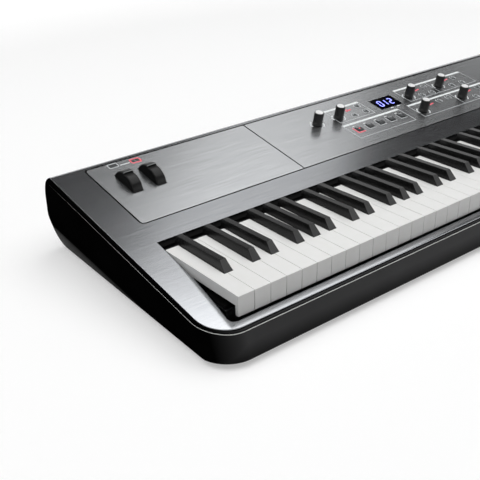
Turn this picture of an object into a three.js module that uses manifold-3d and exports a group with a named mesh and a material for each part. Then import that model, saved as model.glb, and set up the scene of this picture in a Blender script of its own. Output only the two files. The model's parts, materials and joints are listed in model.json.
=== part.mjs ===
import * as THREE from 'three';
import { mergeVertices } from 'three/addons/utils/BufferGeometryUtils.js';
import Module from 'manifold-3d';

const wasm = await Module();
wasm.setup();

// Stage piano with 88 keys, in millimetres, +Z up, the player at -Y.
// Sizes are first given from the front left corner of the lowest white key's top:
// x to the right, y away from the player, z up. The whole is then moved so that
// the origin lies on the floor, under the middle of the case.

// General clearances
const seatGap = 0.3;
const cutOverrun = 20;
const joinOverlap = 0.5;
const samePoint = 0.001;
const middleShare = 0.5;
const axleSides = 16;
const stemSides = 8;
const curveSides = 6;

// White keys
const whiteKeyCount = 52;
const whiteKeySpacing = 23.5;
const keyGap = 0.9;
const whiteHeadLength = 48.2;
const whiteTopLength = 141.3;
const whiteBodyDepth = 13.6;
const whiteLipDrop = 26.2;
const whiteLipThickness = 5.2;
const whiteEdgeRound = 1.2;
const whiteTailDrop = 5.5;
const whiteHeelDepth = 15.6;

// Black keys
const blackSetback = 49;
const blackOverrun = 5.2;
const blackBaseWidth = 12.5;
const blackTopWidth = 8.4;
const blackHeight = 12;
const blackRearHeight = 9.3;
const blackFrontRun = 10.7;
const blackTailDrop = 3.5;
const blackBodyDepth = 13.4;
const blackSideGap = 0.8;
const blackOffsetShares = { C: -0.128, D: 0.072, F: -0.174, G: -0.034, A: 0.104 };

// Key pivot and key bed
const pivotDistance = 230;
const pivotDepth = 13;
const pivotRodRadius = 2.5;
const heelLength = 16;
const heelSetback = 6;
const spineHeight = 4;
const whiteDip = 10;
const sheetSteel = 2;
const chassisFront = 14;
const chassisBack = 262;
const chassisSideMargin = 0.3;
const stopShelfFront = 20;
const stopShelfDepth = 44;
const stopFeltHeight = 5;
const stopFeltInset = 3;
const contactFront = 98;
const contactDepth = 28;
const contactBoardThickness = 1.6;
const contactDomeHeight = 4;
const contactRidgeShare = 0.25;
const pivotRailThickness = 4;

// Sloping top: one plane, its height over the key tops given at the well's back lip
const deckSlopeDegrees = 10.91;
const lipRise = 3.79;
const coverThickness = 3;
const coverSideMargin = 42.4;
const coverFrontMargin = 14;
const coverBackLine = 347;
const coverFrontRadius = 38;
const coverBackRadius = 3;

// Key well in the cover
const wellLipSetback = 8.55;
const wellSideGap = 0.5;
const wellFlare = 10.3;
const wellFlareStart = 109;
const wellFlarePower = 1.6;
const wellFlareSteps = 7;
const wellFrontMargin = 3;
const wellCornerRadius = 8;
const wellFeltGap = 1.5;
const wellFeltDepth = 14;
const wellFeltClearance = 0.6;
const wellFeltDrop = 2.2;

// Inset panels
const panelThickness = 1.5;
const panelGroove = 0.9;
const panelSideInset = 3.7;
const panelFrontLine = 197;
const panelBackLine = 340;
const panelCornerRadius = 7;
const panelLedge = 5;
const sidePanelWidth = 273.8;
const panelRibWidth = 12;

// Case
const caseWall = 5;
const caseFloor = 3;
const coverLedge = 3.5;
const mouthDepth = 12;
const caseBottomDrop = 67;
const rimWidth = 3;
const rimDrop = 1.2;
const frontRimWidth = 3.85;
const frontRimDrop = 3.75;
const frontLean = 10.9;
const frontTuck = 6.5;
const frontTuckHeight = 5;
const tuckMiddleShare = 0.33;
const sideTuck = 1.5;
const backBulge = 16.8;
const backRollTop = 0.9;
const backRollDrop = 2.1;
const backRollHeight = 29.5;
const backHeelRadius = 21;
const sideCreaseDrop = 59.4;
const sideCreaseSlope = 0.1245;
const sideBevelDegrees = 15.5;

// Feet
const footRadius = 15;
const footHeight = 5;
const footStudRadius = 4;
const footSideInset = 100;
const footFrontInset = 45;
const footBackInset = 60;

// Cheek blocks and key slip
const cheekWidth = 29;
const slipThickness = 3;
const slipFootDepth = 7;
const slipFootHeight = 3;
const slipEndMargin = 8;

// Performance wheels
const wheelRadius = 26.4;
const wheelWidth = 14.6;
const wheelSlotGap = 0.5;
const wheelSlotLength = 51;
const wheelAxisDrop = 10;
const wheelPitch = 36.7;
const wheelFirstInset = 37.8;
const wheelLineShare = 0.622;
const wheelNotchRadius = 6;
const wheelNotchDepth = 2;
const wheelSides = 36;
const axleRadius = 3;
const axleOverhang = 2;
const bracketClearance = 3;
const bracketFlange = 12;
const bracketDepth = 24;

// Knobs
const knobRadius = 7.5;
const knobHeight = 21.4;
const knobSkirtGap = 0.8;
const knobTaper = 0.9;
const knobShaftRadius = 3;
const knobSides = 18;
const knobNames = ['volume', 'tone', 'control_1', 'control_2', 'control_3', 'control_4'];
const knobPlaceShares = [
  [0.1582, 0.6224], [0.2271, 0.6224], [0.4738, 0.6154],
  [0.596, 0.6434], [0.4483, 0.2797], [0.6027, 0.3007],
];

// Program buttons
const programButtonSize = 11;
const programButtonRise = 1.2;
const programButtonCount = 5;
const programFirstShare = 0.2343;
const programPitchShare = 0.0363;
const programLineShare = 0.3287;

// Small round buttons, each group moulded on one mat
const roundButtonRadius = 3.6;
const roundButtonRise = 1;
const roundButtonSides = 12;
const matWeb = 1.2;
const matMargin = 2;
const buttonTravel = 0.6;
const matPlaceShares = {
  bank: [[0.3135, 0.7378], [0.3147, 0.5958], [0.2747, 0.5853]],
  effect: [[0.5564, 0.7238], [0.5151, 0.5755], [0.5514, 0.5643]],
  layer: [[0.6736, 0.7189], [0.6357, 0.5846], [0.6766, 0.5825]],
  split: [[0.5304, 0.3727], [0.5679, 0.3818], [0.6914, 0.3965], [0.6444, 0.2385]],
};

// Display and control board
const displayWidth = 51;
const displayDepth = 32;
const displaySink = 0.1;
const displayPlaceShare = [0.3943, 0.6413];
const boardDrop = 9;
const boardThickness = 1.6;
const boardLeftShare = 0.11;
const boardRightShare = 0.74;
const boardFrontShare = 0.1;
const boardBackShare = 0.9;
const boardPostRadius = 3;
const boardPostInset = 5;

// Rear sockets
const jackWindowLeft = 700;
const jackWindowWidth = 250;
const jackWindowBottom = 26;
const jackWindowHeight = 24;
const jackPlateMargin = 6;
const jackPlateThickness = 2;
const jackCollarRadius = 5.5;
const jackCollarLength = 3;
const jackBodySize = 13;
const jackBodyDepth = 22;
const jackHoleRadius = 3.3;
const jackHoleDepth = 18;
const jackPlaceShares = [0.08, 0.2, 0.32, 0.44, 0.56];
const dataHoleRadius = 6.8;
const dataBodySize = 19;
const dataHoleDepth = 9;
const dataPlaceShares = [0.7, 0.82];
const hostPlaceShare = 0.93;
const hostHoleSize = 8.4;
const hostBodySize = 12.5;
const socketSides = 12;

// Power inlet and switch
const inletLeft = 1015;
const inletSize = 13;
const inletDepth = 14;
const inletFlange = 3;
const inletHoleRadius = 3;
const inletPinRadius = 1;
const inletHoleDepth = 10;
const switchLeft = 1050;
const switchWidth = 13;
const switchHeight = 19;
const switchClearance = 0.8;
const switchSink = 2;
const switchTiltDegrees = 6;
const switchBodyDepth = 4;
const switchPinRadius = 1.2;
const switchPinLength = 2;
const switchCentreHeight = 38;

// Worked out from the sizes above
const slope = THREE.MathUtils.degToRad(deckSlopeDegrees);
const keyboardWidth = whiteKeyCount * whiteKeySpacing;
const blackBack = whiteTopLength + blackOverrun;
const lipY = blackBack + wellLipSetback;
const wellLipLine = lipY / Math.cos(slope);
const deckFrontDrop = lipY * Math.tan(slope) - lipRise;
const wellFeltFront = blackBack + wellFeltGap;
const wellFeltBack = wellFeltFront + wellFeltDepth;
const coverFrontY = -coverFrontMargin * Math.cos(slope);
const coverFrontZ = -deckFrontDrop - coverFrontMargin * Math.sin(slope);
const coverBackY = coverBackLine * Math.cos(slope);
const coverBackZ = -deckFrontDrop + coverBackLine * Math.sin(slope);
const caseLeft = -coverSideMargin - rimWidth;
const caseRight = keyboardWidth + coverSideMargin + rimWidth;
const caseBottom = -caseBottomDrop;
const floorTop = caseBottom + caseFloor;
const caseFrontTopY = coverFrontY - frontRimWidth;
const caseFrontTopZ = coverFrontZ - frontRimDrop;
const caseFrontY = caseFrontTopY - frontLean;
const caseBackY = coverBackY + backBulge;
const rollTopY = coverBackY + backRollTop;
const rollTopZ = coverBackZ - backRollDrop;
const rollFootZ = rollTopZ - backRollHeight;
const heelTopZ = caseBottom + backHeelRadius;
const caseTopZ = coverBackZ + cutOverrun;
const rollOut = caseBackY - rollTopY;
const panelLeft = panelSideInset;
const panelRight = keyboardWidth - panelSideInset;
const firstDivide = panelLeft + sidePanelWidth;
const secondDivide = panelRight - sidePanelWidth;
const panelDepth = panelBackLine - panelFrontLine;
const panelWidth = secondDivide - firstDivide;
const wheelLine = panelFrontLine + wheelLineShare * panelDepth;
const bedBottom = floorTop + seatGap;
const bedTop = bedBottom + sheetSteel;

// Shape helpers

function point(x, y) {
  return new THREE.Vector2(x, y);
}

function solid(geometry) {
  const bare = geometry.clone();
  bare.deleteAttribute('normal');
  bare.deleteAttribute('uv');
  const merged = mergeVertices(bare);
  return new wasm.Manifold(new wasm.Mesh({
    numProp: 3,
    vertProperties: new Float32Array(merged.attributes.position.array),
    triVerts: new Uint32Array(merged.index.array),
  }));
}

function geometryOf(body) {
  const mesh = body.getMesh();
  const geometry = new THREE.BufferGeometry();
  geometry.setAttribute('position', new THREE.BufferAttribute(mesh.vertProperties, mesh.numProp));
  geometry.setIndex(new THREE.BufferAttribute(mesh.triVerts, 1));
  geometry.computeVertexNormals();
  return geometry;
}

// A block between two corners
function block(x0, x1, y0, y1, z0, z1) {
  const box = new THREE.BoxGeometry(x1 - x0, y1 - y0, z1 - z0);
  box.translate((x0 + x1) / 2, (y0 + y1) / 2, (z0 + z1) / 2);
  return solid(box);
}

// Points of an outline with the repeated ones left out
function distinct(points) {
  return points.filter((p, i) => p.distanceTo(points[(i + 1) % points.length]) > samePoint);
}

// A plan outline raised from z0 to z1, with its holes cut through
function raised(shape, z0, z1, curveSegments = curveSides) {
  const column = (points, low, high) => {
    const outline = new THREE.Shape(distinct(points));
    const prism = new THREE.ExtrudeGeometry(outline, { depth: high - low, bevelEnabled: false });
    prism.translate(0, 0, low);
    return solid(prism);
  };
  const outline = shape.extractPoints(curveSegments);
  let body = column(outline.shape, z0, z1);
  for (const hole of outline.holes) {
    body = body.subtract(column(hole, z0 - cutOverrun, z1 + cutOverrun));
  }
  return body;
}

// A side outline, given as (y, z), drawn out from x0 to x1
function drawnAcross(points, x0, x1) {
  const prism = new THREE.ExtrudeGeometry(new THREE.Shape(points), { depth: x1 - x0, bevelEnabled: false });
  const across = new THREE.Matrix4().makeBasis(
    new THREE.Vector3(0, 1, 0), new THREE.Vector3(0, 0, 1), new THREE.Vector3(1, 0, 0));
  prism.applyMatrix4(across);
  prism.translate(x0, 0, 0);
  return solid(prism);
}

// Round bar along x
function barAcross(radius, x0, x1, y, z, sides) {
  const bar = new THREE.CylinderGeometry(radius, radius, x1 - x0, sides);
  bar.rotateZ(Math.PI / 2);
  bar.translate((x0 + x1) / 2, y, z);
  return solid(bar);
}

// Round bar along y
function barDeep(radius, x, z, y0, y1, sides) {
  const bar = new THREE.CylinderGeometry(radius, radius, y1 - y0, sides);
  bar.translate(x, (y0 + y1) / 2, z);
  return solid(bar);
}

// Round bar along z, its top radius given apart
function barUp(radius, topRadius, x, y, z0, z1, sides) {
  const bar = new THREE.CylinderGeometry(topRadius, radius, z1 - z0, sides);
  bar.rotateX(Math.PI / 2);
  bar.translate(x, y, (z0 + z1) / 2);
  return solid(bar);
}

// A closed body through rings of points, lowest ring first, each counter-clockwise from above
function loft(rings) {
  const count = rings[0].length;
  const positions = [];
  const index = [];
  for (const ring of rings) {
    for (const corner of ring) positions.push(corner.x, corner.y, corner.z);
  }
  for (let level = 0; level < rings.length - 1; level += 1) {
    for (let i = 0; i < count; i += 1) {
      const a = level * count + i;
      const b = level * count + (i + 1) % count;
      index.push(a, b, b + count, a, b + count, a + count);
    }
  }
  const top = (rings.length - 1) * count;
  for (let i = 1; i < count - 1; i += 1) {
    index.push(0, i + 1, i);
    index.push(top, top + i, top + i + 1);
  }
  const geometry = new THREE.BufferGeometry();
  geometry.setAttribute('position', new THREE.BufferAttribute(new Float32Array(positions), 3));
  geometry.setIndex(index);
  return solid(geometry);
}

// Rectangle with its own radius for each pair of corners, as a path
function roundedShape(left, right, front, back, frontRadius, backRadius) {
  const shape = new THREE.Shape();
  const quarter = Math.PI / 2;
  shape.moveTo(left + frontRadius, front);
  shape.lineTo(right - frontRadius, front);
  shape.absarc(right - frontRadius, front + frontRadius, frontRadius, -quarter, 0, false);
  shape.lineTo(right, back - backRadius);
  shape.absarc(right - backRadius, back - backRadius, backRadius, 0, quarter, false);
  shape.lineTo(left + backRadius, back);
  shape.absarc(left + backRadius, back - backRadius, backRadius, quarter, 2 * quarter, false);
  shape.lineTo(left, front + frontRadius);
  shape.absarc(left + frontRadius, front + frontRadius, frontRadius, 2 * quarter, 3 * quarter, false);
  return shape;
}

function rectangle(x0, x1, y0, y1) {
  return [point(x0, y0), point(x1, y0), point(x1, y1), point(x0, y1)];
}

function circlePath(x, y, radius) {
  const path = new THREE.Path();
  path.absarc(x, y, radius, 0, 2 * Math.PI, false);
  return path;
}

// Everything lower than the sloping top by more than the given drop
function underDeck(drop) {
  const reach = keyboardWidth + coverBackLine;
  const below = new THREE.BoxGeometry(2 * reach, 2 * reach, reach);
  below.translate(keyboardWidth / 2, 0, -reach / 2 - drop);
  below.rotateX(slope);
  below.translate(0, 0, -deckFrontDrop);
  return solid(below);
}

// A body made on the sloping top, turned into the keyboard's frame
function ontoDeck(body) {
  const geometry = geometryOf(body);
  geometry.rotateX(slope);
  geometry.translate(0, 0, -deckFrontDrop);
  return solid(geometry);
}

// Assembly

const instrument = new THREE.Group();
const deck = new THREE.Group();
deck.rotation.x = slope;
deck.position.z = -deckFrontDrop;
instrument.add(deck);

function finish(color, roughness, metalness = 0) {
  return new THREE.MeshStandardMaterial({ color, roughness, metalness });
}

const blackShell = finish(0x232324, 0.42);
const silverSheet = finish(0xb9bbbe, 0.36, 0.6);
const ivoryWhite = finish(0xececea, 0.25);
const ebonyBlack = finish(0x232323, 0.4);
const knobBlack = finish(0x151515, 0.35);
const buttonGrey = finish(0x4a4b4d, 0.5);
const plainSteel = finish(0x9a9c9e, 0.4, 0.9);
const greenBoard = finish(0x1f4a33, 0.6);
const darkFelt = finish(0x141414, 0.95);
const footRubber = finish(0x18181a, 0.9);
const displayGlass = finish(0x05050a, 0.08);

function place(name, body, material, parent = instrument) {
  const mesh = new THREE.Mesh(geometryOf(body), material);
  mesh.name = name;
  parent.add(mesh);
  return mesh;
}

// Case: a tub with a leaning front, a rolled back and bevelled lower sides

function roundedRing(left, right, front, back, frontRadius, backRadius, z) {
  const frontSteps = 8;
  const backSteps = 3;
  const ring = [];
  const corners = [
    [right - frontRadius, front + frontRadius, frontRadius, -1, frontSteps],
    [right - backRadius, back - backRadius, backRadius, 0, backSteps],
    [left + backRadius, back - backRadius, backRadius, 1, backSteps],
    [left + frontRadius, front + frontRadius, frontRadius, 2, frontSteps],
  ];
  for (const [x, y, radius, quarterTurns, steps] of corners) {
    for (let step = 0; step <= steps; step += 1) {
      const angle = (quarterTurns + step / steps) * Math.PI / 2;
      ring.push(new THREE.Vector3(x + radius * Math.cos(angle), y + radius * Math.sin(angle), z));
    }
  }
  return ring;
}

// Front, back and side of the case at height z, moved in by the wall
function caseLevel(z, inset) {
  const tuckTop = caseBottom + frontTuckHeight;
  const tuckRise = Math.min((z - caseBottom) / frontTuckHeight, 1);
  const tuckBend = 1 - Math.sqrt(1 - (1 - tuckRise) ** 2);
  const leanShare = (z - tuckTop) / (caseFrontTopZ - tuckTop);
  const front = z < tuckTop
    ? caseFrontY + frontTuck * tuckBend
    : caseFrontY + frontLean * leanShare;
  const heelRise = Math.min((z - caseBottom) / backHeelRadius, 1);
  const heelBend = 1 - Math.sqrt(1 - (1 - heelRise) ** 2);
  const rollRise = Math.min(Math.max((z - rollFootZ) / (backRollHeight - inset), 0), 1);
  const rollBend = 1 - Math.sqrt(1 - rollRise ** 2);
  const back = z < heelTopZ
    ? caseBackY - backHeelRadius * heelBend - inset
    : caseBackY - inset - (rollOut - inset) * rollBend;
  const side = inset + sideTuck * tuckBend;
  return roundedRing(caseLeft + side, caseRight - side, front + inset, back,
    coverFrontRadius + rimWidth - inset, coverBackRadius + rimWidth - Math.min(inset, rimWidth), z);
}

// Wedge that takes the lower side off along a plane from the rising crease
function sideWedge(x, outward, inset) {
  const drop = caseBottomDrop + coverBackLine * sideCreaseSlope;
  const lean = Math.tan(THREE.MathUtils.degToRad(sideBevelDegrees));
  const edge = x - outward * inset;
  const shape = new THREE.Shape([
    point(edge + outward * cutOverrun * lean, cutOverrun),
    point(edge - outward * drop * lean, -drop),
    point(edge + outward * cutOverrun, -drop),
  ]);
  const length = caseBackY - caseFrontY + 2 * cutOverrun;
  const wedge = new THREE.ExtrudeGeometry(shape, { depth: length, bevelEnabled: false });
  wedge.rotateX(Math.PI / 2);
  wedge.translate(0, caseBackY + cutOverrun, 0);
  const shear = new THREE.Matrix4().set(
    1, 0, 0, 0,
    0, 1, 0, 0,
    0, sideCreaseSlope, 1, -sideCreaseDrop,
    0, 0, 0, 1,
  );
  wedge.applyMatrix4(shear);
  return solid(wedge);
}

function tub(heights, inset) {
  return loft(heights.map((z) => caseLevel(z, inset)))
    .subtract(sideWedge(caseLeft, -1, inset))
    .subtract(sideWedge(caseRight, 1, inset));
}

function coverOutline(growth) {
  return roundedShape(-coverSideMargin - growth, keyboardWidth + coverSideMargin + growth,
    -coverFrontMargin - growth, coverBackLine + growth,
    Math.max(coverFrontRadius + growth, seatGap), Math.max(coverBackRadius + growth, seatGap));
}

const socketFrontY = caseBackY - caseWall;
const jackBottomZ = caseBottom + jackWindowBottom;
const switchCentreZ = caseBottom + switchCentreHeight;
const switchPivotY = caseBackY - caseWall / 2;

function bottomCase() {
  const rollShares = [0.3, 0.55, 0.78, 0.93, 1];
  const heelShares = [0.1, 0.35, 0.65, 1];
  const tuckMiddle = caseBottom + tuckMiddleShare * frontTuckHeight;
  const outerHeights = [caseBottom, tuckMiddle, caseBottom + frontTuckHeight];
  const innerHeights = [floorTop, caseBottom + frontTuckHeight];
  for (const share of heelShares) {
    const z = caseBottom + backHeelRadius * share;
    if (z > caseBottom + frontTuckHeight) {
      outerHeights.push(z);
      innerHeights.push(z);
    }
  }
  outerHeights.push(rollFootZ);
  innerHeights.push(rollFootZ);
  for (const share of rollShares) {
    outerHeights.push(rollFootZ + backRollHeight * share);
    innerHeights.push(rollFootZ + (backRollHeight - caseWall) * share);
  }
  const shell = tub(outerHeights, 0).intersect(underDeck(rimDrop));
  const room = tub(innerHeights, caseWall);
  const mouth = raised(coverOutline(-coverLedge), -mouthDepth, caseTopZ);
  const seat = raised(coverOutline(seatGap), -coverThickness - seatGap, caseTopZ);
  let body = shell.subtract(room).subtract(ontoDeck(seat)).subtract(ontoDeck(mouth));
  body = body.subtract(block(jackWindowLeft, jackWindowLeft + jackWindowWidth,
    socketFrontY - seatGap, caseBackY + cutOverrun, jackBottomZ, jackBottomZ + jackWindowHeight));
  body = body.subtract(block(inletLeft, inletLeft + inletSize,
    socketFrontY - seatGap, caseBackY + cutOverrun,
    switchCentreZ - inletSize / 2, switchCentreZ + inletSize / 2));
  body = body.subtract(block(switchLeft, switchLeft + switchWidth,
    socketFrontY - cutOverrun, caseBackY + cutOverrun,
    switchCentreZ - switchHeight / 2, switchCentreZ + switchHeight / 2));
  body = body.subtract(barAcross(switchPinRadius + seatGap,
    switchLeft - switchPinLength, switchLeft + switchWidth + switchPinLength,
    switchPivotY, switchCentreZ, socketSides));
  for (const [x, y] of footPlaces()) {
    body = body.subtract(barUp(footStudRadius + seatGap, footStudRadius + seatGap, x, y,
      caseBottom - cutOverrun, floorTop + cutOverrun, socketSides));
  }
  return body;
}

function footPlaces() {
  const places = [];
  for (const y of [caseFrontY + footFrontInset, caseBackY - footBackInset]) {
    for (const x of [caseLeft + footSideInset, caseRight - footSideInset]) places.push([x, y]);
  }
  return places;
}

place('bottom_case', bottomCase(), blackShell);

// Feet, each with a stud in the case's floor

const footNames = ['foot_front_left', 'foot_front_right', 'foot_rear_left', 'foot_rear_right'];
footPlaces().forEach(([x, y], i) => {
  const pad = barUp(footRadius, footRadius, x, y, caseBottom - footHeight, caseBottom - seatGap, knobSides);
  const stud = barUp(footStudRadius, footStudRadius, x, y,
    caseBottom - seatGap - joinOverlap, floorTop, socketSides);
  place(footNames[i], pad.add(stud), footRubber);
});

// Top cover: one sheet with the key well and a rebate for the three panels

// Edge of the key well on the left, from the lip to the front; mirrored for the right
function wellEdge(growth) {
  const edge = [point(-wellSideGap - growth, wellLipLine)];
  for (let step = 0; step <= wellFlareSteps; step += 1) {
    const run = step / wellFlareSteps;
    const reach = wellFlareStart + wellFrontMargin - wellCornerRadius;
    const flare = wellFlare * (run * reach / wellFlareStart) ** wellFlarePower;
    edge.push(point(-wellSideGap - growth - flare, wellFlareStart - run * reach));
  }
  return edge;
}

function wellShape() {
  const left = wellEdge(0);
  const corner = left[left.length - 1];
  const mirror = (p) => point(keyboardWidth - p.x, p.y);
  const shape = new THREE.Shape();
  const rightFirst = mirror(corner);
  shape.moveTo(corner.x + wellCornerRadius, -wellFrontMargin);
  shape.lineTo(rightFirst.x - wellCornerRadius, -wellFrontMargin);
  shape.quadraticCurveTo(rightFirst.x, -wellFrontMargin, rightFirst.x, rightFirst.y);
  for (const p of left.slice(0, -1).reverse()) shape.lineTo(keyboardWidth - p.x, p.y);
  for (const p of left.slice(0, -1)) shape.lineTo(p.x, p.y);
  shape.lineTo(corner.x, corner.y);
  shape.quadraticCurveTo(corner.x, -wellFrontMargin, corner.x + wellCornerRadius, -wellFrontMargin);
  return shape;
}

function topCover() {
  const sheet = raised(coverOutline(0), -coverThickness, 0);
  const well = raised(wellShape(), -coverThickness - cutOverrun, cutOverrun);
  const rebate = raised(roundedShape(panelLeft, panelRight, panelFrontLine, panelBackLine,
    panelCornerRadius, panelCornerRadius), -panelThickness - seatGap, cutOverrun);
  let body = sheet.subtract(well).subtract(rebate);
  const ribHalf = panelRibWidth / 2;
  const bays = [
    [panelLeft + panelLedge, firstDivide - ribHalf],
    [firstDivide + ribHalf, secondDivide - ribHalf],
    [secondDivide + ribHalf, panelRight - panelLedge],
  ];
  for (const [left, right] of bays) {
    body = body.subtract(block(left, right, panelFrontLine + panelLedge, panelBackLine - panelLedge,
      -coverThickness - cutOverrun, cutOverrun));
  }
  return body;
}

place('top_cover', topCover(), silverSheet, deck);

// Panels, flush with the cover in their rebate

function panelShape(left, right, roundLeft, roundRight) {
  const front = panelFrontLine + panelGroove;
  const back = panelBackLine - panelGroove;
  const radius = panelCornerRadius - panelGroove;
  const shape = new THREE.Shape();
  const quarter = Math.PI / 2;
  shape.moveTo(left + (roundLeft ? radius : 0), front);
  if (roundRight) {
    shape.lineTo(right - radius, front);
    shape.absarc(right - radius, front + radius, radius, -quarter, 0, false);
    shape.absarc(right - radius, back - radius, radius, 0, quarter, false);
  } else {
    shape.lineTo(right, front);
    shape.lineTo(right, back);
  }
  if (roundLeft) {
    shape.absarc(left + radius, back - radius, radius, quarter, 2 * quarter, false);
    shape.absarc(left + radius, front + radius, radius, 2 * quarter, 3 * quarter, false);
  } else {
    shape.lineTo(left, back);
  }
  return shape;
}

const slotHalf = wheelWidth / 2 + wheelSlotGap;
const wheelCentres = [panelLeft + wheelFirstInset, panelLeft + wheelFirstInset + wheelPitch];

const leftShape = panelShape(panelLeft + panelGroove, firstDivide - panelGroove / 2, true, false);
for (const x of wheelCentres) {
  leftShape.holes.push(new THREE.Path(rectangle(x - slotHalf, x + slotHalf,
    wheelLine - wheelSlotLength / 2, wheelLine + wheelSlotLength / 2)));
}
place('left_panel', raised(leftShape, -panelThickness, 0), silverSheet, deck);

function onPanel([acrossShare, upShare]) {
  return [firstDivide + acrossShare * panelWidth, panelFrontLine + upShare * panelDepth];
}

const knobPlaces = knobPlaceShares.map(onPanel);
const displayPlace = onPanel(displayPlaceShare);
const programPlaces = [];
for (let i = 0; i < programButtonCount; i += 1) {
  programPlaces.push(onPanel([programFirstShare + i * programPitchShare, programLineShare]));
}

const mainShape = panelShape(firstDivide + panelGroove / 2, secondDivide - panelGroove / 2, false, false);
for (const [x, s] of knobPlaces) mainShape.holes.push(circlePath(x, s, knobShaftRadius + seatGap));
for (const [x, s] of programPlaces) {
  const half = programButtonSize / 2 + seatGap;
  mainShape.holes.push(new THREE.Path(rectangle(x - half, x + half, s - half, s + half)));
}
for (const group of Object.values(matPlaceShares)) {
  for (const share of group) {
    const [x, s] = onPanel(share);
    mainShape.holes.push(circlePath(x, s, roundButtonRadius + seatGap));
  }
}
const displayHalf = [displayWidth / 2 + seatGap, displayDepth / 2 + seatGap];
mainShape.holes.push(new THREE.Path(rectangle(
  displayPlace[0] - displayHalf[0],
  displayPlace[0] + displayHalf[0],
  displayPlace[1] - displayHalf[1],
  displayPlace[1] + displayHalf[1],
)));
place('main_panel', raised(mainShape, -panelThickness, 0), silverSheet, deck);

const rightShape = panelShape(secondDivide + panelGroove / 2, panelRight - panelGroove, false, true);
place('right_panel', raised(rightShape, -panelThickness, 0), silverSheet, deck);

// Wheels on one axle, in a bracket under the left panel

function wheel(x) {
  const axis = -wheelAxisDrop;
  const disc = barAcross(wheelRadius, x - wheelWidth / 2, x + wheelWidth / 2, wheelLine, axis, wheelSides);
  const bore = barAcross(axleRadius + seatGap, x - wheelWidth, x + wheelWidth, wheelLine, axis, axleSides);
  const notch = barAcross(wheelNotchRadius, x - wheelWidth, x + wheelWidth,
    wheelLine, axis + wheelRadius + wheelNotchRadius - wheelNotchDepth, knobSides);
  return disc.subtract(bore).subtract(notch);
}

place('pitch_wheel', wheel(wheelCentres[0]), knobBlack, deck);
place('mod_wheel', wheel(wheelCentres[1]), knobBlack, deck);

const bracketLeft = wheelCentres[0] - wheelWidth / 2 - bracketClearance - sheetSteel;
const bracketRight = wheelCentres[1] + wheelWidth / 2 + bracketClearance + sheetSteel;
const bracketTop = -panelThickness - seatGap;
const bracketFloor = -wheelAxisDrop - wheelRadius - bracketClearance;

function wheelBracket() {
  const front = wheelLine - bracketDepth / 2;
  const back = wheelLine + bracketDepth / 2;
  const middle = (wheelCentres[0] + wheelCentres[1]) / 2;
  const foot = bracketFloor - sheetSteel;
  let body = block(bracketLeft, bracketRight, front, back, foot, bracketFloor);
  for (const x of [bracketLeft, middle - sheetSteel / 2, bracketRight - sheetSteel]) {
    body = body.add(block(x, x + sheetSteel, front, back, foot, bracketTop));
  }
  body = body.add(block(bracketLeft - bracketFlange, bracketLeft + sheetSteel, front, back,
    bracketTop - sheetSteel, bracketTop));
  body = body.add(block(bracketRight - sheetSteel, bracketRight + bracketFlange, front, back,
    bracketTop - sheetSteel, bracketTop));
  return body.subtract(barAcross(axleRadius + seatGap, bracketLeft - cutOverrun, bracketRight + cutOverrun,
    wheelLine, -wheelAxisDrop, axleSides));
}

place('wheel_bracket', wheelBracket(), plainSteel, deck);
place('wheel_axle', barAcross(axleRadius, bracketLeft - axleOverhang, bracketRight + axleOverhang,
  wheelLine, -wheelAxisDrop, axleSides), plainSteel, deck);

// Control board on posts under the main panel

const boardTop = -boardDrop + boardThickness;
const boardLeft = firstDivide + boardLeftShare * panelWidth;
const boardRight = firstDivide + boardRightShare * panelWidth;
const boardFront = panelFrontLine + boardFrontShare * panelDepth;
const boardBack = panelFrontLine + boardBackShare * panelDepth;

function controlBoard() {
  let board = block(boardLeft, boardRight, boardFront, boardBack, -boardDrop, boardTop);
  for (const x of [boardLeft + boardPostInset, boardRight - boardPostInset]) {
    for (const s of [boardFront + boardPostInset, boardBack - boardPostInset]) {
      board = board.add(barUp(boardPostRadius, boardPostRadius, x, s,
        boardTop - joinOverlap, -panelThickness - seatGap, stemSides));
    }
  }
  for (const [x, s] of knobPlaces) {
    board = board.subtract(barUp(knobShaftRadius + seatGap, knobShaftRadius + seatGap, x, s,
      -boardDrop - cutOverrun, boardTop + joinOverlap, socketSides));
  }
  return board;
}

place('control_board', controlBoard(), greenBoard, deck);

// Knobs, each with its shaft through the panel and the board

knobPlaces.forEach(([x, s], i) => {
  const cap = barUp(knobRadius, knobRadius - knobTaper, x, s, knobSkirtGap, knobHeight, knobSides);
  const shaft = barUp(knobShaftRadius, knobShaftRadius, x, s,
    -boardDrop - boardThickness, knobSkirtGap + joinOverlap, socketSides);
  place(`${knobNames[i]}_knob`, cap.add(shaft), knobBlack, deck);
});

// Program buttons: square caps with a flange under the panel

const flangeTop = -panelThickness - seatGap;
const flangeBottom = flangeTop - matWeb;
const buttonBottom = boardTop + seatGap + buttonTravel;

programPlaces.forEach(([x, s], i) => {
  const half = programButtonSize / 2;
  const cap = block(x - half, x + half, s - half, s + half, flangeBottom, programButtonRise);
  const wide = half + matMargin / 2;
  const flange = block(x - wide, x + wide, s - wide, s + wide, flangeBottom, flangeTop);
  const stem = barUp(knobShaftRadius, knobShaftRadius, x, s,
    buttonBottom, flangeBottom + joinOverlap, stemSides);
  place(`program_button_${i + 1}`, cap.add(flange).add(stem), buttonGrey, deck);
});

// Button mats: round caps on one web under the panel

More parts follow.
